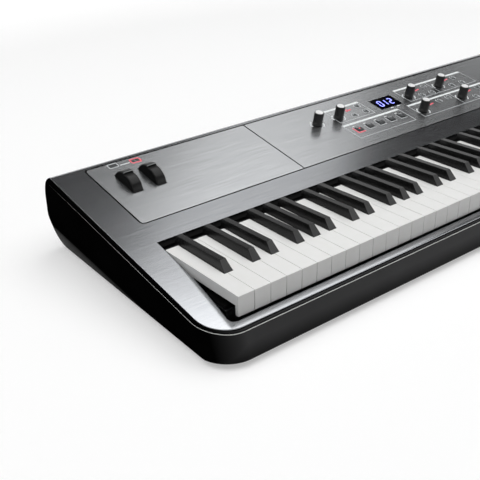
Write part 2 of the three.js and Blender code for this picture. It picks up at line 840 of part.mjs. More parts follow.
for (const [name, group] of Object.entries(matPlaceShares)) {
  const places = group.map(onPanel);
  const half = roundButtonRadius + matMargin;
  let mat = null;
  places.forEach(([x, s], i) => {
    const radius = roundButtonRadius;
    let piece = barUp(radius, radius, x, s, flangeBottom, roundButtonRise, roundButtonSides)
      .add(block(x - half, x + half, s - half, s + half, flangeBottom, flangeTop))
      .add(barUp(matMargin, matMargin, x, s, buttonBottom, flangeBottom + joinOverlap, stemSides));
    if (i > 0) {
      const [x0, s0] = places[i - 1];
      const link = Math.hypot(x - x0, s - s0);
      const strap = new THREE.BoxGeometry(link, 2 * matMargin, matWeb);
      strap.rotateZ(Math.atan2(s - s0, x - x0));
      strap.translate((x + x0) / 2, (s + s0) / 2, (flangeTop + flangeBottom) / 2);
      piece = piece.add(solid(strap));
    }
    mat = mat ? mat.add(piece) : piece;
  });
  place(`${name}_button_mat`, mat, buttonGrey, deck);
}

// Display: a glazed block standing on the board, its face in the panel

place('display_window', block(
  displayPlace[0] - displayWidth / 2, displayPlace[0] + displayWidth / 2,
  displayPlace[1] - displayDepth / 2, displayPlace[1] + displayDepth / 2,
  boardTop + seatGap, -displaySink), displayGlass, deck);

// Cheek blocks beside the keys and the key slip in front of them

function cheekBlock(mirrored) {
  const inner = wellEdge(seatGap).map((p) => point(p.x, p.y * Math.cos(slope)));
  const last = inner[inner.length - 1];
  const frontY = -wellFrontMargin + seatGap;
  const outline = [...inner, point(last.x, frontY), point(-cheekWidth, frontY),
    point(-cheekWidth, inner[0].y)];
  const placed = outline.map((p) => (mirrored ? point(keyboardWidth - p.x, p.y) : p));
  const inRim = ontoDeck(raised(coverOutline(-coverLedge - seatGap), -2 * caseBottomDrop, caseTopZ));
  return raised(new THREE.Shape(placed), bedBottom, caseTopZ)
    .intersect(underDeck(coverThickness + seatGap))
    .intersect(inRim);
}

place('left_cheek_block', cheekBlock(false), blackShell);
place('right_cheek_block', cheekBlock(true), blackShell);

function keySlip() {
  const back = -wellFrontMargin - seatGap;
  const left = -wellFlare - slipEndMargin;
  const right = keyboardWidth + wellFlare + slipEndMargin;
  const wall = block(left, right, back - slipThickness, back, bedBottom, caseTopZ);
  const foot = block(left, right, back - slipFootDepth, back, bedBottom, bedBottom + slipFootHeight);
  return wall.add(foot).intersect(underDeck(coverThickness + seatGap));
}

place('key_slip', keySlip(), blackShell);

// Key bed: a folded steel chassis with three rails

const dipSine = whiteDip / pivotDistance;
const stopDip = (pivotDistance - stopShelfFront - stopFeltInset) * dipSine;
const feltTop = -whiteBodyDepth - stopDip - seatGap;
const shelfTop = feltTop - stopFeltHeight - seatGap;
const contactDip = (pivotDistance - contactFront) * dipSine;
const domeTop = -whiteBodyDepth - contactDip - seatGap;
const contactShelf = domeTop - contactDomeHeight - contactBoardThickness - seatGap;
const pivotY = pivotDistance;
const pivotZ = -pivotDepth;
const bedLeft = -chassisSideMargin;
const bedRight = keyboardWidth + chassisSideMargin;

function keybedChassis() {
  const bed = (y0, y1, z0, z1) => block(bedLeft, bedRight, y0, y1, z0, z1);
  const railTop = pivotZ - pivotRodRadius - seatGap;
  return bed(chassisFront, chassisBack, bedBottom, bedTop)
    .add(bed(stopShelfFront, stopShelfFront + sheetSteel, bedBottom, shelfTop))
    .add(bed(stopShelfFront, stopShelfFront + stopShelfDepth, shelfTop - sheetSteel, shelfTop))
    .add(bed(contactFront, contactFront + sheetSteel, bedBottom, contactShelf))
    .add(bed(contactFront, contactFront + contactDepth, contactShelf - sheetSteel, contactShelf))
    .add(bed(pivotY - pivotRailThickness / 2, pivotY + pivotRailThickness / 2, bedBottom, railTop));
}

place('keybed_chassis', keybedChassis(), plainSteel);
const pivotRod = barAcross(pivotRodRadius, bedLeft, bedRight, pivotY, pivotZ, socketSides);
place('key_pivot_rod', pivotRod, plainSteel);
place('key_stop_felt', block(0, keyboardWidth, stopShelfFront + stopFeltInset,
  stopShelfFront + stopShelfDepth - stopFeltInset, shelfTop + seatGap, feltTop), darkFelt);

function contactStrip() {
  const back = contactFront + contactDepth;
  const board = block(0, keyboardWidth, contactFront, back,
    contactShelf + seatGap, contactShelf + seatGap + contactBoardThickness);
  const inset = contactRidgeShare * contactDepth;
  const ridge = block(0, keyboardWidth, contactFront + inset, back - inset,
    contactShelf + seatGap, domeTop);
  return board.add(ridge);
}

place('contact_strip', contactStrip(), greenBoard);

// Felt behind the visible keys, closing the gap under the cover's lip

function deckHeight(y, drop) {
  return -deckFrontDrop + y * Math.tan(slope) - drop / Math.cos(slope);
}

function wellFelt() {
  const bottom = -blackTailDrop + wellFeltClearance;
  const under = (y) => deckHeight(y, coverThickness + seatGap);
  return drawnAcross([
    point(wellFeltFront, bottom),
    point(wellFeltBack, bottom),
    point(wellFeltBack, under(wellFeltBack)),
    point(lipY, under(lipY)),
    point(wellFeltFront, under(lipY) - wellFeltDrop / 2),
  ], 0, keyboardWidth);
}

place('key_well_felt', wellFelt(), darkFelt);

// Keys

const noteLetters = ['A', 'B', 'C', 'D', 'E', 'F', 'G'];

const firstNotePlace = 5;

function letterOf(i) {
  return noteLetters[i % noteLetters.length];
}

function octaveOf(i) {
  return Math.floor((i + firstNotePlace) / noteLetters.length);
}

// Centre of the black key right of white key i, or null where there is none
function blackCentre(i) {
  const share = blackOffsetShares[letterOf(i)];
  if (share === undefined || i < 0 || i >= whiteKeyCount - 1) return null;
  return (i + 1) * whiteKeySpacing + share * whiteKeySpacing;
}

const notchRadius = pivotRodRadius + seatGap;
const heelBack = pivotY + heelLength;
const heelFront = pivotY + heelSetback;

// Open notch under the key that sits over the pivot rod
function notchPoints(bottom) {
  const steps = 4;
  const points = [];
  points.push(point(pivotY + notchRadius, bottom));
  for (let step = 0; step <= steps; step += 1) {
    const angle = Math.PI * step / steps;
    points.push(point(pivotY + notchRadius * Math.cos(angle), pivotZ + notchRadius * Math.sin(angle)));
  }
  points.push(point(pivotY - notchRadius, bottom));
  return points;
}

const whiteProfile = [
  point(0, -whiteLipDrop),
  point(0, -whiteEdgeRound),
  point(whiteEdgeRound, 0),
  point(whiteTopLength, 0),
  point(whiteTopLength, -whiteTailDrop),
  point(heelBack, -whiteTailDrop),
  point(heelBack, -whiteHeelDepth),
  point(heelFront, -whiteHeelDepth),
  point(heelFront, -whiteBodyDepth),
  ...notchPoints(-whiteBodyDepth),
  point(whiteLipThickness, -whiteBodyDepth),
  point(whiteLipThickness, -whiteLipDrop),
];

function whiteKey(i) {
  const left = i * whiteKeySpacing + keyGap / 2;
  const right = (i + 1) * whiteKeySpacing - keyGap / 2;
  const before = blackCentre(i - 1);
  const after = blackCentre(i);
  const clear = blackBaseWidth / 2 + blackSideGap;
  const tailLeft = before === null ? left : before + clear;
  const tailRight = after === null ? right : after - clear;
  const shape = new THREE.Shape([
    point(left, 0), point(right, 0), point(right, whiteHeadLength),
    point(tailRight, whiteHeadLength), point(tailRight, heelBack),
    point(tailLeft, heelBack), point(tailLeft, whiteHeadLength), point(left, whiteHeadLength),
  ].filter((p, n, all) => !p.equals(all[(n + 1) % all.length])));
  return raised(shape, -whiteLipDrop, 0).intersect(drawnAcross(whiteProfile, left, right));
}

const blackProfile = [
  point(blackSetback, -blackBodyDepth),
  point(blackSetback, 0),
  point(blackBack, 0),
  point(blackBack, -blackTailDrop),
  point(heelBack, -blackTailDrop),
  point(heelBack, -blackBodyDepth),
  ...notchPoints(-blackBodyDepth),
];

function blackKey(centre) {
  const baseHalf = blackBaseWidth / 2;
  const topHalf = blackTopWidth / 2;
  const topFront = blackSetback + blackFrontRun;
  const ring = (half, front, frontZ, backZ) => [
    new THREE.Vector3(centre - half, front, frontZ), new THREE.Vector3(centre + half, front, frontZ),
    new THREE.Vector3(centre + half, blackBack, backZ), new THREE.Vector3(centre - half, blackBack, backZ),
  ];
  const top = loft([
    ring(baseHalf, blackSetback, -joinOverlap, -joinOverlap),
    ring(baseHalf, blackSetback, 0, 0),
    ring(topHalf, topFront, blackHeight, blackRearHeight),
  ]);
  return drawnAcross(blackProfile, centre - baseHalf, centre + baseHalf).add(top);
}

// Lowest keys: each on its own

const singleWhites = 9;
for (let i = 0; i < singleWhites; i += 1) {
  place(`key_${letterOf(i)}${octaveOf(i)}`, whiteKey(i), ivoryWhite);
  const centre = blackCentre(i);
  if (centre !== null) place(`key_${letterOf(i)}_sharp_${octaveOf(i)}`, blackKey(centre), ebonyBlack);
}

// Upper keys: white and black combs, each joined by a spine behind the pivot

function comb(first, last, black) {
  const keys = [];
  let low = null;
  let high = null;
  for (let i = first; i <= last; i += 1) {
    const centre = black ? blackCentre(i) : (i + middleShare) * whiteKeySpacing;
    if (centre !== null) {
      keys.push(black ? blackKey(centre) : whiteKey(i));
      low = low === null ? centre : low;
      high = centre;
    }
  }
  const spineBottom = black ? -blackTailDrop - joinOverlap : -whiteHeelDepth - spineHeight;
  const spineTop = black ? -blackTailDrop + spineHeight : -whiteHeelDepth + joinOverlap;
  keys.push(block(low, high, heelFront + seatGap, heelBack - seatGap, spineBottom, spineTop));
  return wasm.Manifold.union(keys);
}

const middleLast = 29;
place('white_keys_C2_to_B4', comb(singleWhites, middleLast, false), ivoryWhite);
place('black_keys_C2_to_B4', comb(singleWhites, middleLast, true), ebonyBlack);
place('white_keys_C5_to_C8', comb(middleLast + 1, whiteKeyCount - 1, false), ivoryWhite);
place('black_keys_C5_to_C8', comb(middleLast + 1, whiteKeyCount - 1, true), ebonyBlack);

// Rear: socket plate behind its window, power inlet and rocker switch

function jackPanel() {
  const plateBack = socketFrontY - seatGap;
  const plateFront = plateBack - jackPlateThickness;
  const middleZ = jackBottomZ + jackWindowHeight / 2;
  const across = (share) => jackWindowLeft + share * jackWindowWidth;
  const bodyFront = plateFront - jackBodyDepth;
  let body = block(jackWindowLeft - jackPlateMargin, jackWindowLeft + jackWindowWidth + jackPlateMargin,
    plateFront, plateBack, jackBottomZ - jackPlateMargin, jackBottomZ + jackWindowHeight + jackPlateMargin);
  const cube = (x, size, front) => block(x - size / 2, x + size / 2, front, plateFront + joinOverlap,
    middleZ - size / 2, middleZ + size / 2);
  for (const share of jackPlaceShares) {
    const x = across(share);
    body = body.add(cube(x, jackBodySize, bodyFront))
      .add(barDeep(jackCollarRadius, x, middleZ, plateFront, plateBack + jackCollarLength, socketSides))
      .subtract(barDeep(jackHoleRadius, x, middleZ, plateBack + jackCollarLength - jackHoleDepth,
        plateBack + cutOverrun, socketSides));
  }
  for (const share of dataPlaceShares) {
    const x = across(share);
    body = body.add(cube(x, dataBodySize, plateFront - jackBodySize))
      .subtract(barDeep(dataHoleRadius, x, middleZ, plateBack - dataHoleDepth,
        plateBack + cutOverrun, socketSides));
  }
  const hostX = across(hostPlaceShare);
  const hostHalf = hostHoleSize / 2;
  return body.add(cube(hostX, hostBodySize, plateFront - jackBodySize))
    .subtract(block(hostX - hostHalf, hostX + hostHalf, plateBack - dataHoleDepth, plateBack + cutOverrun,
      middleZ - hostHalf, middleZ + hostHalf));
}

place('jack_panel', jackPanel(), blackShell);

function powerInlet() {
  const half = inletSize / 2;
  const middleX = inletLeft + half;
  const flangeBack = socketFrontY - seatGap;
  const flangeFront = flangeBack - sheetSteel;
  const face = caseBackY - caseWall / 2;
  const reach = half - seatGap;
  const wide = half + inletFlange;
  const floor = face - inletHoleDepth;
  const plug = (size, front, back) => block(middleX - size, middleX + size, front, back,
    switchCentreZ - size, switchCentreZ + size);
  return plug(reach, face - inletDepth, face)
    .add(plug(wide, flangeFront, flangeBack))
    .subtract(barDeep(inletHoleRadius, middleX, switchCentreZ, floor, face + cutOverrun, socketSides))
    .add(barDeep(inletPinRadius, middleX, switchCentreZ,
      floor - joinOverlap, face - joinOverlap, stemSides));
}

place('power_inlet', powerInlet(), blackShell);

// Rocker: two faces that meet at a shallow angle, on a pin across the opening
function powerSwitch() {
  const half = switchHeight / 2 - switchClearance;
  const tilt = THREE.MathUtils.degToRad(switchTiltDegrees);
  const face = caseWall / 2 - switchSink;
  const turned = (y, z) => point(
    switchPivotY + y * Math.cos(tilt) - z * Math.sin(tilt),
    switchCentreZ + y * Math.sin(tilt) + z * Math.cos(tilt));
  const outline = [
    turned(face, 0),
    turned(face + half * Math.tan(tilt), half),
    turned(-switchBodyDepth / 2, half),
    turned(-switchBodyDepth, 0),
    turned(-switchBodyDepth / 2, -half),
    turned(face + half * Math.tan(tilt), -half),
  ];
  const left = switchLeft + seatGap;
  const right = switchLeft + switchWidth - seatGap;
  return drawnAcross(outline, left, right)
    .add(barAcross(switchPinRadius, left - switchPinLength, right + switchPinLength,
      switchPivotY, switchCentreZ, socketSides));
}

place('power_switch', powerSwitch(), knobBlack);

// Origin on the floor, under the middle of the case
const model = new THREE.Group();
instrument.position.set(-keyboardWidth / 2, -(caseFrontY + caseBackY) / 2, caseBottomDrop + footHeight);
model.add(instrument);

export default model;
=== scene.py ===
import json
import math
import bmesh
import bpy
from mathutils import Matrix, Vector


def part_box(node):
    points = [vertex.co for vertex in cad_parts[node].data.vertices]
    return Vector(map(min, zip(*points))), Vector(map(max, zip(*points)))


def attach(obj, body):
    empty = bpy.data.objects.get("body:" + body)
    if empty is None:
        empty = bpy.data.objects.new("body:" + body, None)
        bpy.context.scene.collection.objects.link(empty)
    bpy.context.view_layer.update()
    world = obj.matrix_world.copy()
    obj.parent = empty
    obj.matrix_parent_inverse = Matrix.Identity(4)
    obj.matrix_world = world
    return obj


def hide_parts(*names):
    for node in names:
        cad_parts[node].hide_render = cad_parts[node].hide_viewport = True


# stage piano: sizes in mm, x along the keys, y away from the player, z up
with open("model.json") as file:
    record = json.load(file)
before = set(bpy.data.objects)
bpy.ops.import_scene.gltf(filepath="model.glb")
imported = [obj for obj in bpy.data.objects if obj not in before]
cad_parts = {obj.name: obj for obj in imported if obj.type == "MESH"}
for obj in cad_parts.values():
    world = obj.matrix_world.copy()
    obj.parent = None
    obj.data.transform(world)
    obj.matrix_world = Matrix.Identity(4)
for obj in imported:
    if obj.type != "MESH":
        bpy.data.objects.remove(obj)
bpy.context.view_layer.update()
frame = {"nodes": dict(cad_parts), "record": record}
print("frame loaded")

# the zero of all places is the near left corner of the lowest white key's top
layout = {
    "keyGap": 0.9,
    "whitePitch": 23.5,
    "whiteCount": 52,
    "whiteTopLength": 141.3,
    "slopeDegrees": 10.91,
    "deckDrop": 26.096,
    "seatGap": 0.3,
}
keyLow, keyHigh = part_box("key_A0")
cornerPlace = Vector((keyLow.x - layout["keyGap"] / 2000, keyLow.y, keyHigh.z))
keyMatrix = Matrix.Translation(cornerPlace) @ Matrix.Scale(0.001, 4)
slope = math.radians(layout["slopeDegrees"])
deckMatrix = keyMatrix @ Matrix.Translation((0, 0, -layout["deckDrop"])) @ Matrix.Rotation(slope, 4, "X")
keyboardWidth = layout["whitePitch"] * layout["whiteCount"]
caseBody = "case"
slotOf = {part["node"]: part["material_slot"] for part in frame["record"]["subparts"]}
bodyOf = {node: body for body, nodes in frame["record"]["behaviour"]["bodies"].items() for node in nodes}


def limited(value, low=0, high=1):
    return min(max(value, low), high)


# material nodes

def srgb(hexText):
    # written colour to the linear one that the shader wants
    parts = [int(hexText[i:i + 2], 16) / 255 for i in (0, 2, 4)]
    return [p / 12.92 if p <= 0.04045 else ((p + 0.055) / 1.055) ** 2.4 for p in parts] + [1.0]


def join(tree, source, socket):
    # a node given as the source stands for its first output
    tree.links.new(getattr(source, "outputs", [source])[0], socket)


def addNode(tree, kind, settings=None, links=None):
    made = tree.nodes.new(kind)
    for key, value in (settings or {}).items():
        if isinstance(key, int) or key in made.inputs:
            made.inputs[key].default_value = value
        else:
            setattr(made, key, value)
    for key, source in (links or {}).items():
        join(tree, source, made.inputs[key])
    return made


def newMaterial(name, colour, roughness, **sockets):
    made = bpy.data.materials.new(name)
    made.use_nodes = True
    shader = made.node_tree.nodes["Principled BSDF"]
    shader.inputs["Base Color"].default_value = srgb(colour)
    shader.inputs["Roughness"].default_value = roughness
    for key, value in sockets.items():
        shader.inputs[key.replace("_", " ")].default_value = value
    return made, made.node_tree, shader


def placeParts(tree, output):
    # x, y and z of the place shaded
    place = addNode(tree, "ShaderNodeTexCoord").outputs[output]
    return addNode(tree, "ShaderNodeSeparateXYZ", links={"Vector": place}).outputs


def mathNode(tree, operation, *sources):
    return addNode(tree, "ShaderNodeMath", {"operation": operation}, dict(enumerate(sources)))


def grainPattern(tree, size, stretch=(1, 1, 1), tilt=0, detail=3):
    # noise whose cells measure size mm, drawn out along the axes by stretch
    place = addNode(tree, "ShaderNodeTexCoord").outputs["Object"]
    turns = {"Rotation": (-tilt, 0, 0), "Scale": tuple(1000 / size / s for s in stretch)}
    turned = addNode(tree, "ShaderNodeMapping", turns, {"Vector": place})
    looks = {"Scale": 1, "Detail": detail, "Roughness": 0.55}
    return addNode(tree, "ShaderNodeTexNoise", looks, {"Vector": turned})


def spread(tree, source, low, high, fromLow=0.3, fromHigh=0.7):
    # goes from low to high while the source goes from fromLow to fromHigh, and stops there
    ends = {"From Min": fromLow, "From Max": fromHigh, "To Min": low, "To Max": high}
    return addNode(tree, "ShaderNodeMapRange", ends, {"Value": source})


def colourMix(tree, share, dark, light):
    colours = {"data_type": "RGBA", 6: srgb(dark), 7: srgb(light)}
    return addNode(tree, "ShaderNodeMix", colours, {0: share}).outputs[2]


def tinted(tree, shader, noise, dark, light):
    join(tree, colourMix(tree, spread(tree, noise, 0, 1), dark, light), shader.inputs["Base Color"])


def glossed(tree, shader, noise, low, high):
    join(tree, spread(tree, noise, low, high), shader.inputs["Roughness"])


def bumped(tree, shader, noise, height, strength):
    looks = {"Strength": strength, "Distance": height / 1000}
    join(tree, addNode(tree, "ShaderNodeBump", looks, {"Height": noise}), shader.inputs["Normal"])


def grained(tree, shader, roughness, grain, relief, strength):
    # fine dots in both the gloss and the relief
    dots = grainPattern(tree, grain)
    glossed(tree, shader, dots, roughness - 0.03, roughness + 0.05)
    bumped(tree, shader, dots, relief, strength)


# materials

def brushedMetal(name, dark, light, roughness, crossing):
    # aluminium sheet, brushed along x under a satin lacquer: fine lines that widen the glints across them;
    # real lines are about 0.1 mm apart, drawn 1.1 mm wide to show at all
    made, tree, shader = newMaterial(name, light, roughness, Metallic=0.97, Anisotropic=crossing)
    across = addNode(tree, "ShaderNodeCombineXYZ", {"Y": math.cos(slope), "Z": math.sin(slope)})
    join(tree, across, shader.inputs["Tangent"])
    lines = grainPattern(tree, 1.1, (60, 1, 1), slope, 4)
    tinted(tree, shader, lines, dark, light)
    glossed(tree, shader, lines, roughness - 0.01, roughness + 0.02)
    return made


def mouldedPlastic(name, dark, light, roughness, grain=1.1, relief=0.03, **sockets):
    # ABS as it leaves a spark-eroded mould: even satin with a fine dull grain
    made, tree, shader = newMaterial(name, light, roughness, IOR=1.5, **sockets)
    tinted(tree, shader, grainPattern(tree, 60, detail=2), dark, light)
    grained(tree, shader, roughness, grain, relief, 0.3)
    return made


# where the case's painted shade begins: mm from its ends, and mm above the floor; past these the colour
# darkens and the shine fades
shell = {"ends": (42, 6), "low": (26, 6), "lowShare": 0.9, "satin": 0.2}


def shellPlastic(name, dark, light, endShadeDark, endShadeLight, roughness):
    # case and rim moulding: satin along the front and back, with painted shade towards its two ends and its
    # bottom, where the colour darkens to near black and the shine fades; finely textured all over
    made, tree, shader = newMaterial(name, light, roughness, IOR=1.5)
    clouds = spread(tree, grainPattern(tree, 60, detail=2), 0, 1)
    parts = placeParts(tree, "Object")
    half = keyboardWidth / 2 + case["sideMargin"]
    endFrom, endTo = ((half - reach) / 1000 for reach in shell["ends"])
    endShade = spread(tree, mathNode(tree, "ABSOLUTE", parts["X"]), 0, 1, endFrom, endTo)
    lowShade = spread(tree, parts["Z"], 0, shell["lowShare"], *(height / 1000 for height in shell["low"]))
    share = mathNode(tree, "MAXIMUM", endShade, lowShade)
    shades = {6: colourMix(tree, clouds, dark, light), 7: colourMix(tree, clouds, endShadeDark, endShadeLight)}
    both = addNode(tree, "ShaderNodeMix", {"data_type": "RGBA"}, {0: share, **shades})
    join(tree, both.outputs[2], shader.inputs["Base Color"])
    join(tree, spread(tree, share, shell["satin"], 0.0, 0, 1), shader.inputs["Specular IOR Level"])
    grained(tree, shader, roughness, 1.1, 0.03, 0.2)
    return made


def polishedPlastic(name, dark, light, roughness, haze=0.03):
    # polished moulding: clear highlights, faint broad waviness and finger haze
    made, tree, shader = newMaterial(name, light, roughness, IOR=1.49)
    clouds = grainPattern(tree, 18, detail=4)
    tinted(tree, shader, clouds, dark, light)
    glossed(tree, shader, clouds, roughness - haze, roughness + haze)
    return made


def woolFelt(name, dark, light, sheen):
    # pressed wool: no shine, short tangled fibres about 1 mm long
    made, tree, shader = newMaterial(name, light, 0.95, Sheen_Weight=sheen, Specular_IOR_Level=0.1)
    fibres = grainPattern(tree, 0.9, (3, 1, 1), 0, 6)
    tinted(tree, shader, fibres, dark, light)
    bumped(tree, shader, fibres, 0.25, 0.6)
    return made


def printedInk(name, dark, light):
    # screen-printed epoxy ink: nearly flat, with a slight mottle from the mesh
    made, tree, shader = newMaterial(name, light, 0.45)
    tinted(tree, shader, grainPattern(tree, 2.2), dark, light)
    return made


def litSegment(name, colour, strength):
    # light-emitting segment behind the window: even colour, slightly stronger in the middle of its cells
    made, tree, shader = newMaterial(name, colour, 0.4)
    shader.inputs["Emission Color"].default_value = srgb(colour)
    level = spread(tree, grainPattern(tree, 4), strength * 0.9, strength * 1.1)
    join(tree, level, shader.inputs["Emission Strength"])
    return made


def platedSteel(name, dark, light, roughness):
    # zinc-plated sheet: grey metal with a faint crystalline spangle of some 6 mm
    made, tree, shader = newMaterial(name, light, roughness, Metallic=1.0)
    spangle = grainPattern(tree, 6, detail=1)
    tinted(tree, shader, spangle, dark, light)
    glossed(tree, shader, spangle, roughness - 0.06, roughness + 0.08)
    return made


coverMetal = brushedMetal("brushedAluminiumCover", "A5A7AA", "B0B2B5", 0.18, 0.42)
panelMetal = brushedMetal("brushedAluminiumPanel", "BCBEC0", "CDCFD1", 0.25, 0.3)
# light grey on the case's bead: a painted highlight along the ledge below the rim
beadPaintedHighlight = printedInk("paintedBeadHighlight", "C2C3C0", "CFD0CD")
# near black painted shade for the walls and floor of the seams round the panels
seamShade = mouldedPlastic("seamPaintedShade", "020202", "040404", 0.8, Specular_IOR_Level=0.05)
wellAbs = mouldedPlastic("wellMouldedAbs", "0F0F0F", "141414", 0.5)
whiteAcrylic = polishedPlastic("whiteKeyPlastic", "EDEDEB", "F0F0EF", 0.26, 0.01)
tailPlastic = mouldedPlastic("keyTailPlastic", "060606", "0A0A0A", 0.6, Specular_IOR_Level=0.1)
# lighter grey on the black keys' fronts: a painted sheen on a matt finish
keyFrontSheen = mouldedPlastic("blackKeyFrontPaintedSheen", "3C3C3C", "474747", 0.5, 0.8, 0.05, Specular_IOR_Level=0.3)
blackKeyAbs = mouldedPlastic("blackKeyAbs", "121212", "171717", 0.24, 0.9, 0.04, Specular_IOR_Level=0.3)
knobAbs = mouldedPlastic("knobAbs", "0A0A0A", "0F0F0F", 0.34)
knobCapLacquer = polishedPlastic("knobCapLacquer", "F0F1F1", "F8F8F8", 0.3)
wheelGloss = mouldedPlastic("wheelGlossPlastic", "0A0A0A", "101010", 0.34, Specular_IOR_Level=0.24)
# near black painted shade on the wheels' sides and step face, light grey painted highlight on their ridge
wheelSide = mouldedPlastic("wheelSidePaintedShade", "020202", "050505", 0.5, Specular_IOR_Level=0.04)
wheelRidge = mouldedPlastic("wheelRidgePaintedHighlight", "6E7272", "808484", 0.4)
buttonRubber = mouldedPlastic("buttonSiliconeRubber", "2A2C2E", "343638", 0.5)
ringPlastic = mouldedPlastic("lightRingPlastic", "A9ADAF", "BCC0C2", 0.35)
whiteInk = printedInk("whiteInk", "E9EEEF", "F7FAFA")
greyInk = printedInk("greyInk", "C4C9CB", "D2D6D8")
redInk = printedInk("redInk", "F0606F", "FA7080")
darkInk = printedInk("darkInk", "2E3133", "383B3D")
windowAcrylic = polishedPlastic("smokedWindowAcrylic", "030306", "06060C", 0.08)
segmentCore = litSegment("segmentCore", "C4CFFF", 1.25)
segmentGlow = litSegment("segmentGlow", "1A0CE8", 0.85)
lampGlow = litSegment("lampGlow", "FF4458", 0.8)
dullLamp = polishedPlastic("dullLampPlastic", "6C7072", "787C7E", 0.3)
darkFelt = woolFelt("darkWoolFelt", "040404", "090909", 0.03)
sheetSteel = platedSteel("zincPlatedSteel", "8E9092", "A7A9AB", 0.36)
socketNickel = platedSteel("nickelPlate", "A9A9A6", "C2C2BF", 0.22)
screwSteel = platedSteel("blackenedScrewSteel", "141415", "1E1E20", 0.34)
boardLaminate = mouldedPlastic("boardLaminate", "173D2A", "1F4A33", 0.4)
footRubber = mouldedPlastic("footRubber", "131314", "1B1B1C", 0.85, 1.4, 0.08)


# making pieces

def meshCopy(mesh):
    bm = bmesh.new()
    bm.from_mesh(mesh)
    return bm


def meshFrom(bm, name, matrix=None):
    if matrix is not None:
        bmesh.ops.transform(bm, matrix=matrix, verts=bm.verts)
    mesh = bpy.data.meshes.new(name)
    bm.to_mesh(mesh)
    bm.free()
    return mesh


def closedMesh(bm, name, matrix=None):
    # all its faces turned outwards
    bmesh.ops.recalc_face_normals(bm, faces=bm.faces)
    return meshFrom(bm, name, matrix)


def onDeck(mesh, place=(0, 0)):
    # from mm at its own middle to its place on the deck
    mesh.transform(deckMatrix @ Matrix.Translation((*place, 0)))
    return mesh


def newObject(name, data):
    made = bpy.data.objects.new(name, data)
    bpy.context.scene.collection.objects.link(made)
    return made


def evaluatedMesh(thing):
    bpy.context.view_layer.update()
    mesh = bpy.data.meshes.new_from_object(thing.evaluated_get(bpy.context.evaluated_depsgraph_get()))
    bpy.data.objects.remove(thing)
    return mesh


def withSharpEdges(mesh, sharpDegrees):
    bm = meshCopy(mesh)
    limit = math.radians(sharpDegrees)
    for face in bm.faces:
        face.smooth = True
    for edge in bm.edges:
        edge.smooth = len(edge.link_faces) == 2 and edge.calc_face_angle(0) < limit
    bm.to_mesh(mesh)
    bm.free()


def newPiece(name, mesh, materials, body, nodes=(), sharpDegrees=35):
    # the mesh is already in metres, in the frame's own place
    indices = [face.material_index for face in mesh.polygons]
    mesh.materials.clear()
    for each in materials:
        mesh.materials.append(each)
    mesh.polygons.foreach_set("material_index", indices)
    withSharpEdges(mesh, sharpDegrees)
    shaded = newObject("shaded", mesh)
    weighted = shaded.modifiers.new("weighted", "WEIGHTED_NORMAL")
    weighted.keep_sharp = True
    piece = newObject(name, evaluatedMesh(shaded))
    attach(piece, body)
    if nodes:
        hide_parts(*nodes)
    return piece


def joined(meshes, name):
    # several meshes in one, with their own material index where none is given
    bm = bmesh.new()
    for mesh, slotIndex in meshes:
        start = len(bm.faces)
        bm.from_mesh(mesh)
        bm.faces.ensure_lookup_table()
        if slotIndex is not None:
            for face in bm.faces[start:]:
                face.material_index = slotIndex
    return meshFrom(bm, name)


def sheetMesh(outlines, thickness, edge, lift=0.0):
    # flat sheet with rounded edges: the first outline is its rim, the others are holes; top at lift
    curve = bpy.data.curves.new("sheet", "CURVE")
    curve.dimensions = "2D"
    curve.fill_mode = "BOTH"
    curve.extrude = thickness / 2 - edge
    curve.bevel_depth = edge
    curve.bevel_resolution = 2
    curve.offset = -edge
    for outline in outlines:
        spline = curve.splines.new("POLY")
        spline.points.add(len(outline) - 1)
        for corner, (x, y) in zip(spline.points, outline):
            corner.co = (x, y, 0, 1)
        spline.use_cyclic_u = True
    mesh = evaluatedMesh(newObject("sheet", curve))
    mesh.transform(Matrix.Translation((0, 0, lift - thickness / 2)))
    bm = meshCopy(mesh)
    bmesh.ops.remove_doubles(bm, verts=bm.verts, dist=0.001)
    return closedMesh(bm, "sheet")


def quarterArcs(corners):
    # an arc of a quarter turn for each corner: its centre, radius, first quarter and steps
    outline = []
    for x, y, radius, quarter, steps in corners:
        for step in range(steps + 1):
            angle = (quarter + step / steps) * math.pi / 2
            outline.append((x + radius * math.cos(angle), y + radius * math.sin(angle)))
    return outline


def rounded(left, right, front, back, radius, steps=12):
    # one radius, or four of them, from the right front corner anticlockwise
    r = radius if isinstance(radius, tuple) else (radius,) * 4
    return quarterArcs([
        (right - r[0], front + r[0], r[0], 3, steps),
        (right - r[1], back - r[1], r[1], 0, steps),
        (left + r[2], back - r[2], r[2], 1, steps),
        (left + r[3], front + r[3], r[3], 2, steps),
    ])


def roundedAt(x, y, halfWidth, halfDepth, radius, steps):
    return rounded(x - halfWidth, x + halfWidth, y - halfDepth, y + halfDepth, radius, steps)


def circle(x, y, radius, steps=40):
    angles = [2 * math.pi * i / steps for i in range(steps)]
    return [(x + radius * math.cos(a), y + radius * math.sin(a)) for a in angles]


def latheMesh(profile, steps=48):
    # profile of (radius, height) from the axis to the axis
    bm = bmesh.new()
    rings = []
    for radius, height in profile:
        spots = circle(0, 0, radius, steps) if radius else [(0, 0)]
        rings.append([bm.verts.new((*spot, height)) for spot in spots])
    for low, high in zip(rings, rings[1:]):
        for i in range(steps):
            j = (i + 1) % steps
            if len(low) == 1:
                bm.faces.new((low[0], high[i], high[j]))
            elif len(high) == 1:
                bm.faces.new((low[i], low[j], high[0]))
            else:
                bm.faces.new((low[i], low[j], high[j], high[i]))
    return closedMesh(bm, "lathe")


def splitAt(bm, y, reach):
    bmesh.ops.bisect_plane(bm, geom=bm.verts[:] + bm.edges[:] + bm.faces[:], dist=reach,
                           plane_co=(0, y, 0), plane_no=(0, 1, 0))


